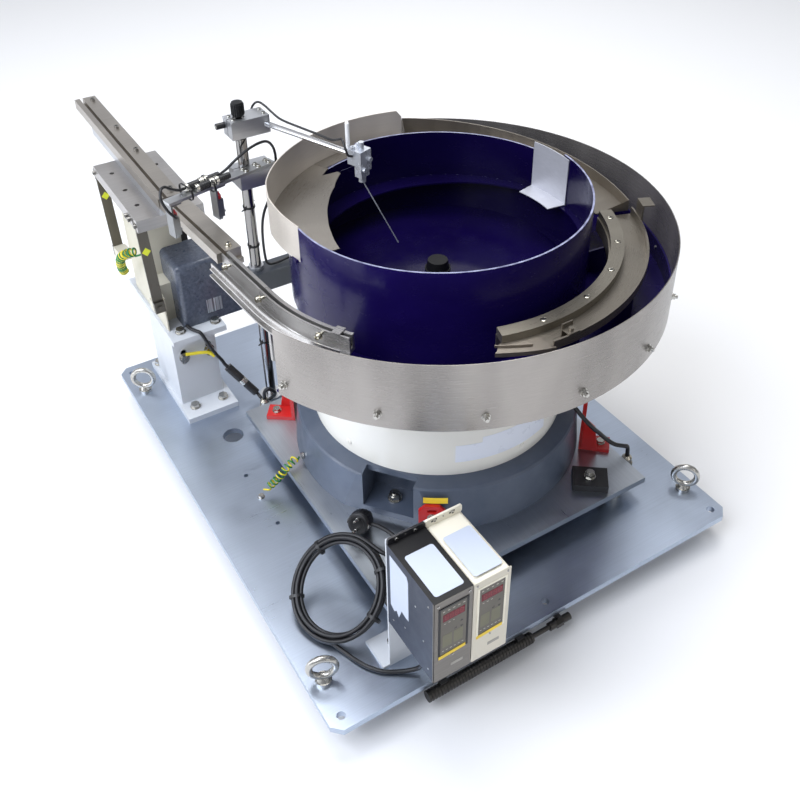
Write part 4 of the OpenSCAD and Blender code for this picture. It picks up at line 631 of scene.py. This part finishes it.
def finish_nodes():
    zinc = metal("zinc_plate", rgb(192, 190, 184), 0.26, (60, 60, 60), blotch=0.06)
    dark_zinc = metal("dull_zinc", rgb(150, 148, 144), 0.34, (60, 60, 60))
    milled = metal("milled_stainless", rgb(186, 180, 172), 0.34, (5, 300, 300), blotch=0.06)
    bright_rail = metal("bright_stainless", rgb(196, 194, 190), 0.28, (300, 5, 300), blotch=0.05)
    # The skirt's strong bands of colour are painted reflection bands.
    sheet = brushed_round("brushed_sheet", rgb(158, 153, 148), 0.28, metallic=0.75, waves=0.30)
    wall = brushed_round("brushed_wall", rgb(222, 214, 203), 0.36, metallic=0.55)
    coating = bowl_coating()
    white = paint("white_powder", rgb(202, 206, 211), 0.42, peel=0.5, blotch=0.03)
    aluminium = metal("milled_aluminium", rgb(206, 208, 212), 0.36, (6, 260, 260), blotch=0.04)
    looks = {
        "base_plate": metal("ground_plate", rgb(184, 195, 212), 0.34, (5, 420, 420), blotch=0.05,
                            anisotropic=0.3),
        "levelling_feet": plastic("foot_rubber", rgb(44, 44, 46), 0.55),
        "eye_bolts": zinc, "plate_spacers": zinc, "base_fasteners": zinc, "skirt_screws": zinc,
        "track_fasteners": zinc, "linear_top_screws": dark_zinc,
        "drive_plate": metal("ground_drive_plate", rgb(188, 194, 202), 0.34, (420, 5, 420), blotch=0.05,
                             anisotropic=0.3),
        "drive_base": paint("cast_enamel", rgb(72, 82, 99), 0.36, peel=0.7, coat=0.2, blotch=0.08, dust=0.04),
        "drive_cover": paint("cream_powder", rgb(240, 238, 230), 0.36, peel=0.25, coat=0.15, blotch=0.02),
        "electromagnet": metal("core_laminations", rgb(96, 88, 80), 0.5, (4, 4, 900)),
        "armature": metal("armature_laminations", rgb(110, 108, 104), 0.5, (4, 4, 900)),
        "drive_springs": plastic("glass_fibre", rgb(92, 110, 88), 0.4, grain=0.8, grain_scale=900),
        "drive_top_disc": metal("turned_disc", rgb(170, 172, 174), 0.34, (200, 200, 8)),
        "transport_brackets": paint("red_enamel", rgb(196, 30, 28), 0.34, peel=0.5, coat=0.2),
        "toe_clamp": paint("black_oxide", rgb(36, 36, 38), 0.42, peel=0.6),
        "bowl": coating, "bowl_track": coating,
        "centre_knob": plastic("knob_black", rgb(18, 18, 20), 0.42, grain=0.6, specular=0.25),
        "skirt_band": sheet, "spiral_wall": wall,
        "spiral_track": brushed_round("spiral_floor", rgb(162, 156, 148), 0.30),
        "ring_track": brushed_round("ring_floor", rgb(150, 143, 133), 0.32),
        "outlet_track": brushed_round("outlet_floor", rgb(148, 141, 130), 0.30),
        "track_strip": brushed_round("strip_steel", rgb(152, 146, 134), 0.30),
        "deflector_plate": metal("deflector_sheet", rgb(206, 207, 214), 0.40, (60, 60, 200), metallic=0.4),
        "outlet_rail": brushed_round("outlet_rail_steel", rgb(178, 176, 174), 0.28),
        "guide_rail": milled, "linear_rail": milled,
        "rail_support_bar": aluminium,
        "linear_top_block": metal("block_steel", rgb(192, 189, 187), 0.36, (8, 200, 200), blotch=0.05),
        "linear_springs": metal("spring_steel", rgb(118, 114, 106), 0.36, (200, 200, 6)),
        "linear_base": paint("cream_enamel", rgb(222, 216, 196), 0.38, peel=0.4),
        "linear_cover": paint("slate_hammer", rgb(62, 68, 80), 0.34, peel=1.0, coat=0.35, peel_scale=260),
        "linear_stand": white,
        "post_beam": paint("dark_enamel", rgb(58, 63, 71), 0.38, peel=0.4, coat=0.2),
        "sensor_post": metal("post_chrome", rgb(150, 148, 146), 0.14, (30, 30, 4), blotch=0.03, spread=0.04),
        "post_knob": plastic("post_knob_black", rgb(18, 18, 20), 0.42, grain=0.6, specular=0.3),
        "post_clamps": aluminium,
        "arm_rod": metal("rod_chrome", rgb(210, 210, 212), 0.14, (30, 30, 30), blotch=0.03, spread=0.04),
        "level_sensor": metal("sensor_nickel", rgb(204, 208, 216), 0.26, (60, 60, 60), metallic=0.55),
        "sensor_tag": plastic("white_sleeve", rgb(236, 236, 236), 0.4),
        "sensor_arm": metal("arm_aluminium", rgb(194, 196, 198), 0.34, (6, 260, 260)),
        "rail_sensors": metal("sensor_steel", rgb(150, 152, 154), 0.34, (60, 60, 60)),
        "cable_connectors": plastic("connector_black", rgb(28, 28, 30), 0.36),
        "cable_glands": metal("gland_nickel", rgb(184, 178, 164), 0.26, (60, 60, 60)),
        "controller_bracket": white,
        "controller_black": controller_shell(),
        "controller_cream": paint("controller_enamel", rgb(236, 230, 212), 0.38, peel=0.3),
        "edge_conduit": metal("ribbed_steel", rgb(74, 72, 70), 0.36, (60, 60, 60)),
    }
    for name, look in looks.items():
        node = bpy.data.objects[name]
        for slot in node.material_slots:
            slot.material = look
    return looks


# Shared pieces

def screw(bm, place, normal, radius, tall, socket=True, washer=0.0, material=0, dark=1):
    """A cap screw with a hexagon socket, on a washer; its sizes are in mm."""
    matrix = frame_of(place, normal)
    if washer:
        add_lathe(bm, [(0, 0), (washer, 0), (washer, 0.8), (washer - 0.3, 1.1), (0, 1.1)], matrix, 28,
                  material)
    edge = 0.12 * radius
    add_lathe(bm, [(0, 0), (radius, 0), (radius, tall - edge), (radius - edge, tall), (0.62 * radius, tall),
                   (0, tall)], matrix, 28, material)
    if socket:
        add_prism(bm, hexagon(0.55 * radius), matrix, tall - 0.02, tall + 0.05, 0.0, dark)


def add_box(bm, low, high):
    """Adds a box between two corners and returns its vertices."""
    made = bmesh.ops.create_cube(bm, size=1.0)["verts"]
    for v in made:
        v.co = Vector([low[i] + (v.co[i] + 0.5) * (high[i] - low[i]) for i in range(3)])
    return made


def add_block(bm, low, high, radius):
    """Adds a box with rounded upright and top edges."""
    made = add_box(bm, low, high)
    edges = {e for v in made for e in v.link_edges if max(end.co.z for end in e.verts) > low.z + 1e-6}
    bmesh.ops.bevel(bm, geom=list(edges), offset=radius, segments=6, profile=0.5, affect="EDGES",
                    clamp_overlap=True)


def round_patch(bm, radius, first, last, low, high, thick, steps=24):
    """A thin curved plate round the bowl's axis: radius, heights above the plate and thickness in mm."""
    corners = ((radius, low), (radius + thick, low), (radius + thick, high), (radius, high))
    skin(bm, zip(*(row((r, first, z), (r, last, z), steps) for r, z in corners)))


def carved(name, node, cutters, materials, body):
    """A copy of a CAD node's mesh with closed shapes cut away, standing for the node."""
    source = bpy.data.objects[node]
    bm = bmesh.new()
    bm.from_mesh(source.data)
    bmesh.ops.remove_doubles(bm, verts=bm.verts, dist=1e-6)
    data = bpy.data.meshes.new(name)
    bm.to_mesh(data)
    bm.free()
    piece = bpy.data.objects.new(name, data)
    bpy.context.scene.collection.objects.link(piece)
    knives = []
    for cutter in cutters:
        bmesh.ops.recalc_face_normals(cutter, faces=cutter.faces)
        blade = bpy.data.meshes.new("blade")
        cutter.to_mesh(blade)
        cutter.free()
        knife = bpy.data.objects.new("knife", blade)
        bpy.context.scene.collection.objects.link(knife)
        cut = piece.modifiers.new("cut", "BOOLEAN")
        cut.operation, cut.object, cut.solver = "DIFFERENCE", knife, "EXACT"
        knives.append(knife)
    bpy.context.view_layer.update()
    shape = bpy.data.meshes.new_from_object(piece.evaluated_get(bpy.context.evaluated_depsgraph_get()))
    for knife in knives:
        bpy.data.objects.remove(knife)
    bpy.data.objects.remove(piece)
    bm = bmesh.new()
    bm.from_mesh(shape)
    bmesh.ops.dissolve_limit(bm, angle_limit=math.radians(0.5), verts=bm.verts, edges=bm.edges)
    bmesh.ops.triangulate(bm, faces=bm.faces)
    for face in bm.faces:
        face.material_index = 0
    piece = from_bmesh(name, bm, body, materials, 30)
    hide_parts(node)


def box_blade(low, high):
    bm = bmesh.new()
    add_box(bm, low, high)
    return bm


# Controllers

CTRL_X, CTRL_W, CTRL_FRONT, CTRL_BACK, CTRL_LOW, CTRL_TOP = 126, 62, -65, 51.6, 110, 280
FRONT, MEMBRANE, DISPLAY, PRINT, DARK, YELLOW, SCREWS, LABEL, KEYS, PLATE, EAR, DIGITS = range(12)


def controller_looks(grey):
    """Materials of a controller's parts, in the order of their numbers."""
    if grey:
        panel = metal("panel_aluminium", rgb(124, 120, 115), 0.42, (6, 6, 260), blotch=0.03)
        ear = plastic("ear_black", rgb(30, 30, 34), 0.42)
    else:
        panel = paint("panel_enamel", rgb(214, 207, 190), 0.36, peel=0.3, blotch=0.02)
        ear = paint("ear_enamel", rgb(234, 228, 210), 0.38, peel=0.3)
    return [
        panel,
        plastic("membrane_grey", rgb(98, 93, 84), 0.36, grain=0.3, specular=0.3),
        plastic("display_window", rgb(104, 10, 30), 0.2, grain=0.0, specular=0.2),
        plastic("membrane_print", rgb(198, 194, 182), 0.4, grain=0.0),
        plastic("membrane_dark", rgb(24, 24, 24), 0.4, grain=0.0),
        plastic("strip_yellow", rgb(240, 204, 40), 0.4, grain=0.1),
        metal("panel_screws", rgb(200, 198, 194), 0.24, (90, 90, 90)),
        paint("label_paper", rgb(190, 198, 213), 0.45, peel=0.0, blotch=0.02),
        plastic("key_field", rgb(110, 108, 86), 0.36, grain=0.3, specular=0.3),
        plastic("small_plate", rgb(150, 146, 138), 0.4, grain=0.0),
        ear,
        plastic("display_digits", rgb(150, 36, 44), 0.2, grain=0.0),
    ]


def grey_side(bm, x0):
    """The torn label, screws and folded rim on the left side of the grey controller."""
    torn = [(-y, z) for y, z in ((24, 60), (24, -44), (14, -50), (8, -42), (2, -50), (-6, -28), (-14, -30),
                                 (-24, -30), (-24, 52), (-20, 60))]
    add_prism(bm, torn, frame_of(at(x0, 22, 205), (-1, 0, 0)), 0.02, 0.5, 0.0, LABEL)
    for y, z in ((-52, 262), (-52, 128), (-20, 228), (8, 150), (40, 130), (-40, 176)):
        screw(bm, at(x0, y, z), (-1, 0, 0), 1.5, 0.5, False, 0.0, SCREWS, DARK)
    rim = frame_of(at(x0, CTRL_FRONT + 1.2, CTRL_LOW + 85), (-1, 0, 0))
    add_prism(bm, rounded(2.2, 169, 0.4, 2), rim, 0.0, 0.5, 0.0, FRONT)


def controller(name, x0, grey):
    """Front plate, membrane with display and keys, label on top, ear at the back."""
    bm = bmesh.new()

    def face(u, v):
        return frame_of(at(x0 + u, CTRL_FRONT, CTRL_LOW + v), (0, -1, 0))

    def sheet(u, v, wide, tall, radius, low, high, material, turn=0.0):
        add_prism(bm, rounded(wide, tall, radius, 3), turned(face(u, v), turn), low, high, 0.0, material)

    def arrow(v, sign):
        outline = [(-2.4, -1.8 * sign), (2.4, -1.8 * sign), (0, 2.2 * sign)][::sign]
        add_prism(bm, outline, face(44, v), 1.15, 1.32, 0.0, DARK)

    sheet(30.9, 85, 60.6, 169, 1.6, 0.02, 0.7, FRONT)
    sheet(31, 104, 41.6, 97.6, 1.2, 0.75, 1.15, MEMBRANE)
    sheet(31, 133.5, 35, 14.5, 0.8, 1.15, 1.3, DISPLAY)
    for u in (19.5, 27.5, 35.5, 43.5):
        for dv in (0, 4.4, 8.8):
            sheet(u, 129 + dv, 3.6, 0.7, 0.2, 1.3, 1.36, DIGITS)
        for du in (-2.1, 2.1):
            for dv in (2.2, 6.6):
                sheet(u + du, 129 + dv, 0.7, 3.4, 0.2, 1.3, 1.36, DIGITS)
    marks = ((5, 15, 8, 147, 3.4, 1.5, 0.4), (3, 17, 7, 121, 3.0, 1.0, 0.3),
             (6, 14.5, 6.4, 64, 3.2, 1.0, 0.3))
    for count, u, step, v, wide, tall, radius in marks:
        for k in range(count):
            sheet(u + step * k, v, wide, tall, radius, 1.15, 1.25, PRINT)
    for u in (21, 39):
        sheet(u, 84, 15, 26, 1.2, 1.15, 1.28, KEYS)
    arrow(112, 1)
    arrow(99, -1)
    sheet(34, 101, 3.6, 1.6, 0.2, 1.15, 1.3, DARK)
    sheet(35.4, 102.4, 0.8, 3.4, 0.2, 1.15, 1.3, DARK)
    sheet(29, 53.5, 44, 6.6, 0.4, 1.52, 1.75, YELLOW, 3.0)
    sheet(38, 24, 20, 6.0, 0.8, 0.7, 0.95, PLATE)
    for u, v, radius in ((31, 46, 1.7), (6, 163, 1.9), (55.6, 163, 1.9)):
        place = at(x0 + u, CTRL_FRONT - 0.7, CTRL_LOW + v)
        screw(bm, place, (0, -1, 0), radius, 1.0, True, 0.0, SCREWS, DARK)
    lid = frame_of(at(x0 + 31, -17, CTRL_TOP), (0, 0, 1))
    add_prism(bm, rounded(46, 78, 4), lid, 0.02, 0.3, 0.0, LABEL)
    ear = frame_of(at(x0 + 30.9, 54.9, CTRL_TOP + 3), (0, -1, 0))
    add_prism(bm, rounded(61, 14, 3.5), ear, 0.0, 3.2, 0.4, EAR)
    for u in (14, 44):
        slot = turned(frame_of(at(x0 + u, CTRL_BACK + 0.1, CTRL_TOP + 5), (0, -1, 0)), 12)
        add_prism(bm, rounded(10, 3.6, 1.7, 4), slot, 0.0, 0.06, 0.0, DARK)
    for u, radius, tall in ((14, 3.0, 2.2), (44, 3.0, 2.2), (29, 1.4, 0.8)):
        screw(bm, at(x0 + u, CTRL_BACK, CTRL_TOP + 5), (0, -1, 0), radius, tall, True, 0.0, SCREWS, DARK)
    if grey:
        grey_side(bm, x0)
    from_bmesh(name, bm, "base", controller_looks(grey))


def controller_shell():
    """Black lid and side sheets; the side faces get a painted sheen in slate grey."""
    f = Finish("controller_sheet", rgb(26, 26, 30), specular_ior_level=0.3)
    normal = f.axes(f.node("NewGeometry").outputs["Normal"])[0]
    # Painted reflection: faces turned to the sides are coloured slate grey in place of black.
    side = f.math("GREATER_THAN", f.math("ABSOLUTE", normal), 0.6)
    drift = f.spread(f.noise(12, 4), 0, 1)
    black = f.mix(drift, rgb(15, 15, 17), rgb(22, 22, 25))
    slate = f.mix(drift, rgb(40, 46, 60), rgb(52, 58, 72))
    f.set("Base Color", f.mix(side, black, slate))
    f.set("Roughness", f.spread(f.noise(40, 4), 0.34, 0.46))
    f.bump(f.noise(700, 2), 0.00005, 0.6)
    return f.material


# Labels on the drive

def drive_labels():
    """The bare pale label round the cover and the yellow one on the casting."""
    bm = bmesh.new()
    radius = (COVER_HIGH.x - COVER_LOW.x) / 2 / MM + 0.1
    round_patch(bm, radius, -115.5, -69.5, 166, 203, 0.3, 40)
    round_patch(bm, radius, -104.0, -70.5, 203, 214, 0.3, 30)
    foil = paint("label_foil", rgb(236, 241, 252), 0.3, peel=0.0, blotch=0.02)
    from_bmesh("cover_label", bm, "base", foil)
    bm = bmesh.new()
    round_patch(bm, 268.2, -127.9, -119.1, 111.5, 124.5, 0.4)
    yellow = plastic("label_yellow", rgb(244, 208, 52), 0.4, grain=0.1)
    from_bmesh("casting_label", bm, "base", yellow)


# Linear drive

def window_look():
    """The striped window in the cover."""
    glass = Finish("window_sheet", rgb(150, 176, 186), metallic=0.7)
    lines = glass.noise((420, 6, 4), 3)
    stripes = glass.spread(lines, 0, 1, 0.35, 0.65)
    glass.set("Base Color", glass.mix(stripes, rgb(104, 134, 146), rgb(206, 224, 230)))
    glass.set("Roughness", glass.spread(lines, 0.2, 0.4))
    return glass.material


def hammer_look():
    """Slate hammer finish with shallow pits."""
    hammer = Finish("hammer_slate", rgb(72, 80, 94), coat_weight=0.3, coat_roughness=0.12)
    pits = hammer.noise(170, 3, rough=0.6)
    hammer.set("Base Color", hammer.mix(hammer.spread(pits, 0, 1), rgb(58, 64, 78), rgb(86, 94, 110)))
    hammer.set("Roughness", hammer.spread(hammer.noise(90, 3), 0.26, 0.42))
    hammer.bump(pits, 0.0011, 0.8)
    return hammer.material


def cover_shell():
    """The cover with rounded edges, two screws and a window, in place of its plain CAD form."""
    bm = bmesh.new()
    add_block(bm, at(110, 806, 178.2), at(240, 903, 318), 11 * MM)
    for y, z in ((883, 207), (826, 211)):
        screw(bm, at(109.9, y, z), (-1, 0, 0), 3.0, 0.7, False, 0.0, 1, 1)
    add_prism(bm, rounded(31.5, 31, 0.8, 2), frame_of(at(176.5, 806, 212.5), (0, -1, 0)), -0.5, 0.5, 0.0, 2)
    looks = [hammer_look(), plastic("dark_screw", rgb(20, 20, 22), 0.4), window_look()]
    cover = from_bmesh("linear_cover_shell", bm, "base", looks, 40)
    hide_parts("linear_cover")


def body_shell():
    """The casting hollowed beside the springs and the cover."""
    blades = [box_blade(at(60, 800, 262.5), at(170, 893, 420)),
              box_blade(at(82.5, 800, 170), at(170, 852, 270))]
    cream = paint("cream_casting", rgb(204, 199, 181), 0.4, peel=0.6, dust=0.05)
    carved("linear_body_shell", "linear_base", blades, cream, "base")


def spring_marks():
    bm = bmesh.new()
    for y, z in ((815.7, 366.5), (1056.1, 372.5)):
        patch = turned(frame_of(at(67, y, z), (0, -0.99, 0.141)), 45)
        add_prism(bm, rounded(12, 12, 0.5, 2), patch, -1.0, 0.5)
    yellow = plastic("mark_yellow", rgb(228, 234, 60), 0.45, grain=0.1)
    from_bmesh("spring_marks", bm, "base", yellow)


def yellow_sleeve():
    """The sleeve on the wires that leave the stand."""
    bm = bmesh.new()
    route = [(96, 781, 137), (106, 780, 135), (124, 779, 131), (140, 777, 126), (150, 773, 116)]
    add_tube(bm, smooth_path(places(route), 8), 3.4 * MM, 14)
    yellow = plastic("sleeve_yellow", rgb(240, 222, 58), 0.42, grain=0.2)
    from_bmesh("yellow_sleeve", bm, "base", yellow)


def slot_washers():
    bm = bmesh.new()
    for x in (94, 146):
        add_lathe(bm, [(0, 0), (8.6, 0), (8.6, 1.4), (8.2, 1.7), (0, 1.7)],
                  frame_of(at(x, 789, 126), (0, -1, 0)), 32)
    from_bmesh("slot_washers", bm, "base", metal("washer_zinc", rgb(170, 168, 162), 0.3, (80, 80, 80)))


# Sensors, post and connectors

ARM_TURN = math.radians(12)
ARM_AHEAD = Vector((math.cos(ARM_TURN), math.sin(ARM_TURN), 0))
ARM_LOW, ARM_TOP = 532.5, 537.5
POST = (242, 725)


def on_arm(x, y, z):
    """A point given from the post along and across the flat arm, in mm."""
    return at(POST[0] + x * math.cos(ARM_TURN) - y * math.sin(ARM_TURN),
              POST[1] + x * math.sin(ARM_TURN) + y * math.cos(ARM_TURN), z)


def along_arm(x, y, z):
    """A frame on the arm whose z runs along it."""
    return frame_of(on_arm(x, y, z), ARM_AHEAD)


def upright(x, y, z):
    """A frame on the arm whose z is up and whose y runs along the arm."""
    return frame_of(on_arm(x, y, z), (0, 0, 1), ARM_AHEAD)


def connector_parts():
    """Knurled chrome rings and rubber ribs on the plug connectors."""
    bm = bmesh.new()

    def ring(matrix, low, high, radius, knurls=0):
        chrome = int(knurls > 0)
        add_lathe(bm, [(0, low), (radius - 0.4, low), (radius, low + 0.4), (radius, high - 0.4),
                       (radius - 0.4, high), (0, high)], matrix, 40, chrome)
        for k in range(knurls):
            spot = moved(turned(matrix, 360 * k / knurls), radius, 0, 0)
            add_prism(bm, rounded(0.5, 0.9, 0.2, 2), spot, low + 0.8, high - 0.8, 0.0, chrome)

    for x, y in ((-130, -14), (-118, -28)):
        matrix = along_arm(x, y, ARM_TOP + 7)
        ring(matrix, -0.1, 6, 6.5, 18)
        ring(matrix, 27.5, 36, 7.5, 24)
        ring(matrix, 36, 38, 6.2)
        ring(matrix, 38, 44.5, 7.4, 24)
        for radius, lows in ((6.4, range(8, 28, 4)), (5.9, range(47, 67, 4))):
            for low in lows:
                ring(matrix, low, low + 2, radius)
    matrix = frame_of(at(172, 768, 82), (0.4928, -0.4564, -0.7408))
    ring(matrix, 38.2, 49.8, 8.2, 28)
    for radius, lows in ((8.8, range(3, 36, 4)), (8.3, range(53, 79, 4))):
        for low in lows:
            ring(matrix, low, low + 2.2, radius)
    ring(matrix, 0, 2, 6.8)
    looks = [plastic("connector_ribs", rgb(24, 24, 26), 0.4),
             metal("connector_chrome", rgb(214, 212, 204), 0.2, (80, 80, 80))]
    from_bmesh("connector_rings", bm, "base", looks)


def sensor_parts():
    """Heads, nuts and threads of the rail sensors, and the screws of the arm and the clamps."""
    red, zinc, black = 0, 1, 2
    bm = bmesh.new()
    for x in (-161, -73):
        add_lathe(bm, [(0, 0), (5.0, 0), (5.0, 5.4), (4.2, 7), (2.8, 9), (2.4, 12), (0, 12)],
                  upright(x, -21, ARM_LOW - 26), 24, red)
        for drop in (33, 52, 57):
            add_prism(bm, hexagon(6.2), upright(x, -21, ARM_LOW - drop), 0, 3.6, 0.3, zinc)
        for k in range(9):
            add_lathe(bm, [(0, 0), (4.3, 0), (4.7, 0.5), (4.3, 1), (0, 1)],
                      upright(x, -21, ARM_LOW - 48 + 1.6 * k), 24, zinc)
    for x in (-14, 12, 34):
        for y in (-26, -16):
            screw(bm, on_arm(x, y, ARM_TOP), (0, 0, 1), 3.6, 3.4, True, 5.2, zinc, black)
    for x, y in ((228, 734), (228, 716), (284, 734), (284, 716)):
        screw(bm, at(x, y, 626), (0, 0, 1), 3.4, 2.2, True, 0.0, zinc, black)
    screw(bm, at(219.9, 737, 612), (-1, 0, 0), 5.4, 16, True, 0.0, black, zinc)
    screw(bm, at(228, 704.9, 518), (0, -1, 0), 4.0, 5, True, 5.5, zinc, black)
    looks = [plastic("sensor_red", rgb(206, 34, 44), 0.32, grain=0.1),
             metal("fitting_zinc", rgb(196, 194, 186), 0.24, (80, 80, 80)),
             plastic("fitting_black", rgb(22, 22, 24), 0.36)]
    from_bmesh("sensor_fittings", bm, "base", looks)


def cable_ties():
    """Nylon ties up the post, some with a tail, and two round the arm and its connectors."""
    bm = bmesh.new()
    for z, tail in ((590, False), (453, True), (372, False), (250, True), (200, False), (150, True)):
        matrix = turned(Matrix.Translation(at(*POST, z)), 4, "X")
        add_lathe(bm, [(10.0, -1.6), (11.4, -1.6), (11.4, 1.6), (10.0, 1.6), (10.0, -1.6)], matrix, 40)
        for turn in (-150, 40):
            knob = moved(turned(matrix, turn), 12.2, 0, 0)
            add_prism(bm, rounded(3.6, 4.4, 0.6, 2), knob, -2.4, 2.4, 0.3)
            if tail:
                add_prism(bm, rounded(1.2, 3.0, 0.4, 2), turned(knob, 90, "Y"), 0.0, 9)
    for x, z in ((-88, 540), (-132, 541)):
        matrix = along_arm(x, -21, z)
        ring = [matrix @ (Vector((u, v, 0)) * MM) for u, v in rounded(38, 21, 8, 6)]
        add_band(bm, ring, matrix.translation, ARM_AHEAD * 1.6 * MM, 1.07)
    from_bmesh("cable_ties", bm, "base", plastic("tie_black", rgb(22, 22, 24), 0.4))


# Tracks

RAIL_ANGLE = -175.875
RAIL_TURN = math.radians(RAIL_ANGLE)
GROOVE_R = 320.0


def by_rail(radius, run, z):
    """A point on the straight outlet rail, in mm: across from the bowl's axis, and along."""
    x, y = radius * MM, -run * MM
    return Vector((AXIS.x + x * math.cos(RAIL_TURN) - y * math.sin(RAIL_TURN),
                   AXIS.y + x * math.sin(RAIL_TURN) + y * math.cos(RAIL_TURN), height(z)))


def track_screws():
    """Screws of the tracks and rails, in place of their plain CAD forms."""
    bm = bmesh.new()
    for turn in (-25, -40, -57, -74, -92):
        matrix = frame_of(round_axis(294.2, turn, 480), (0, 0, 1))
        add_lathe(bm, [(0, 0), (4.6, 0), (4.6, 0.15), (4.2, 0.4), (0, 0.4)], matrix, 28)
        add_prism(bm, hexagon(2.3), matrix, 0.3, 0.45, 0.0, 1)

    def side_screw(place, normal):
        add_lathe(bm, [(0, -1), (2.6, -1), (2.6, 9), (6.2, 9), (6.4, 9.3), (6.4, 10), (4.6, 10.2),
                       (4.6, 15.4), (4.2, 16), (2.4, 16), (2.2, 14), (0, 14)], frame_of(place, normal), 28)

    for run in (8, 118):
        side_screw(by_rail(GROOVE_R + 4.4, run, 474.5), (math.cos(RAIL_TURN), math.sin(RAIL_TURN), 0))
    turn = math.radians(-154)
    side_screw(round_axis(GROOVE_R + 4.4, -154, 474.5), (math.cos(turn), math.sin(turn), 0))
    for run in (166, 352):
        screw(bm, by_rail(GROOVE_R - 15.5, run, 480), (0, 0, 1), 4.5, 6, True, 6, 0, 1)
    looks = [metal("screw_zinc", rgb(198, 194, 180), 0.22, (90, 90, 90)),
             plastic("socket_dark", rgb(30, 30, 30), 0.5)]
    piece = from_bmesh("track_screws", bm, "bowl_body", looks)
    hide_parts("track_fasteners")


def rail_edge():
    """The bent edge along the outer side of the outlet rail: round its arc, then along its straight run."""
    bm = bmesh.new()
    foot = 459.4
    for near, far, top in ((344.6, 346.4, foot + 11.0), (346.4, 349.6, foot + 2.2)):
        rows = []
        for r, z in ((near, foot), (far, foot), (far, top), (near, top)):
            arc = row((r, -147, z), (r, RAIL_ANGLE, z), 30)
            rows.append(arc + [by_rail(r, run, z) for run in (40, 80, 120, 148)])
        skin(bm, zip(*rows))
    steel = metal("rail_edge_steel", rgb(208, 206, 204), 0.26, (60, 60, 60))
    from_bmesh("rail_edge", bm, "bowl_body", steel, 20)


def ribbed_knob():
    """The ribbed clamping knob on top of the post, in place of its plain CAD form."""
    low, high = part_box("post_knob")
    reach = (high.z - low.z) / MM
    matrix = Matrix.Translation(((low.x + high.x) / 2, (low.y + high.y) / 2, low.z))
    bm = bmesh.new()
    add_lathe(bm, [(0, 0), (6.5, 0), (6.5, 3), (10.2, 4), (10.6, 5), (10.4, 0.72 * reach),
                   (9.4, 0.78 * reach), (4, 0.80 * reach), (0, 0.79 * reach)], matrix, 40)
    for k in range(18):
        rib = moved(turned(matrix, 20 * k), 10.6, 0, 0)
        add_prism(bm, rounded(1.8, 2.0, 0.8, 2), rib, 5.4, 0.70 * reach, 0.4)
    knob = from_bmesh("ribbed_knob", bm, "base", LOOKS["post_knob"])
    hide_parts("post_knob")


def track_end():
    """The floor of the curved track runs on to its end beside the strip, with a bent lip on it."""
    bm = bmesh.new()
    floor = 467
    lip, strip = ((348.6, -94.6), (331.0, -109.4)), ((325.0, -99.0), (311.0, -108.4))
    for inner, outer, low, high in ((((305.2, -94.6), (305.2, -106.6)), lip, -2.0, 0.0),
                                    (strip, ((326.6, -99.0), (312.6, -108.5)), 0.0, 4.0),
                                    (((345.6, -94.8), (329.6, -109.2)), lip, 0.0, 5.0)):
        corners = ((inner, floor + low), (outer, floor + low), (outer, floor + high), (inner, floor + high))
        skin(bm, zip(*(row((*edge[0], z), (*edge[1], z), 14) for edge, z in corners)))
    from_bmesh("track_end", bm, "bowl_body", brushed_round("track_end_steel", rgb(150, 142, 132), 0.32))


def wall_fill():
    """The bowl's wall between its low edge and the spiral deck above it, which falls round the bowl."""
    bm = bmesh.new()
    inner, outer, first, last, foot = 247.4, 256.0, 95, 177, 495
    corners = ((inner, foot, foot), (inner, 515.9, 499.5), (outer, 515.9, 499.5), (outer, foot, foot))
    skin(bm, zip(*(row((r, first, z0), (r, last, z1), 41) for r, z0, z1 in corners)))
    from_bmesh("bowl_wall_fill", bm, "bowl_body", bowl_coating())


def deck_joint():
    """Closes the spiral deck where its two parts meet."""
    bm = bmesh.new()
    round_patch(bm, 251.5, 106.2, 109.8, 513.4, 515.7, 26.2, 4)
    from_bmesh("deck_joint", bm, "bowl_body", LOOKS["spiral_track"])


def skirt_sheet():
    """The skirt drawn down over the edge of the bowl's floor."""
    bm = bmesh.new()
    bm.from_mesh(bpy.data.objects["skirt_band"].data)
    bmesh.ops.remove_doubles(bm, verts=bm.verts, dist=1e-6)
    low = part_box("skirt_band")[0].z
    for vert in bm.verts:
        if vert.co.z < low + 0.5 * MM:
            vert.co.z -= 6.4 * MM
    for face in bm.faces:
        face.material_index = 0
    skirt = from_bmesh("skirt_sheet", bm, "bowl_body", LOOKS["skirt_band"])
    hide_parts("skirt_band")


def bowl_shell():
    """The bowl with the free end of its return pan cut off flush with the skirt."""
    angles = [*range(-200, -160, 4), -161]
    outline = [(252.5, a) for a in angles] + [(430, a) for a in reversed(angles)]
    blade = bmesh.new()
    skin(blade, [[round_axis(r, a, z) for r, a in outline] for z in (380, 470)])
    carved("bowl_shell", "bowl", [blade], bowl_coating(), "bowl_body")


make_camera()
make_cords()
make_stage()
LOOKS = finish_nodes()
controller("black_controller_parts", CTRL_X, True)
controller("cream_controller_parts", CTRL_X + CTRL_W, False)
drive_labels()
cover_shell()
body_shell()
spring_marks()
yellow_sleeve()
slot_washers()
connector_parts()
sensor_parts()
cable_ties()
track_screws()
rail_edge()
bowl_shell()
ribbed_knob()
track_end()
wall_fill()
deck_joint()
skirt_sheet()
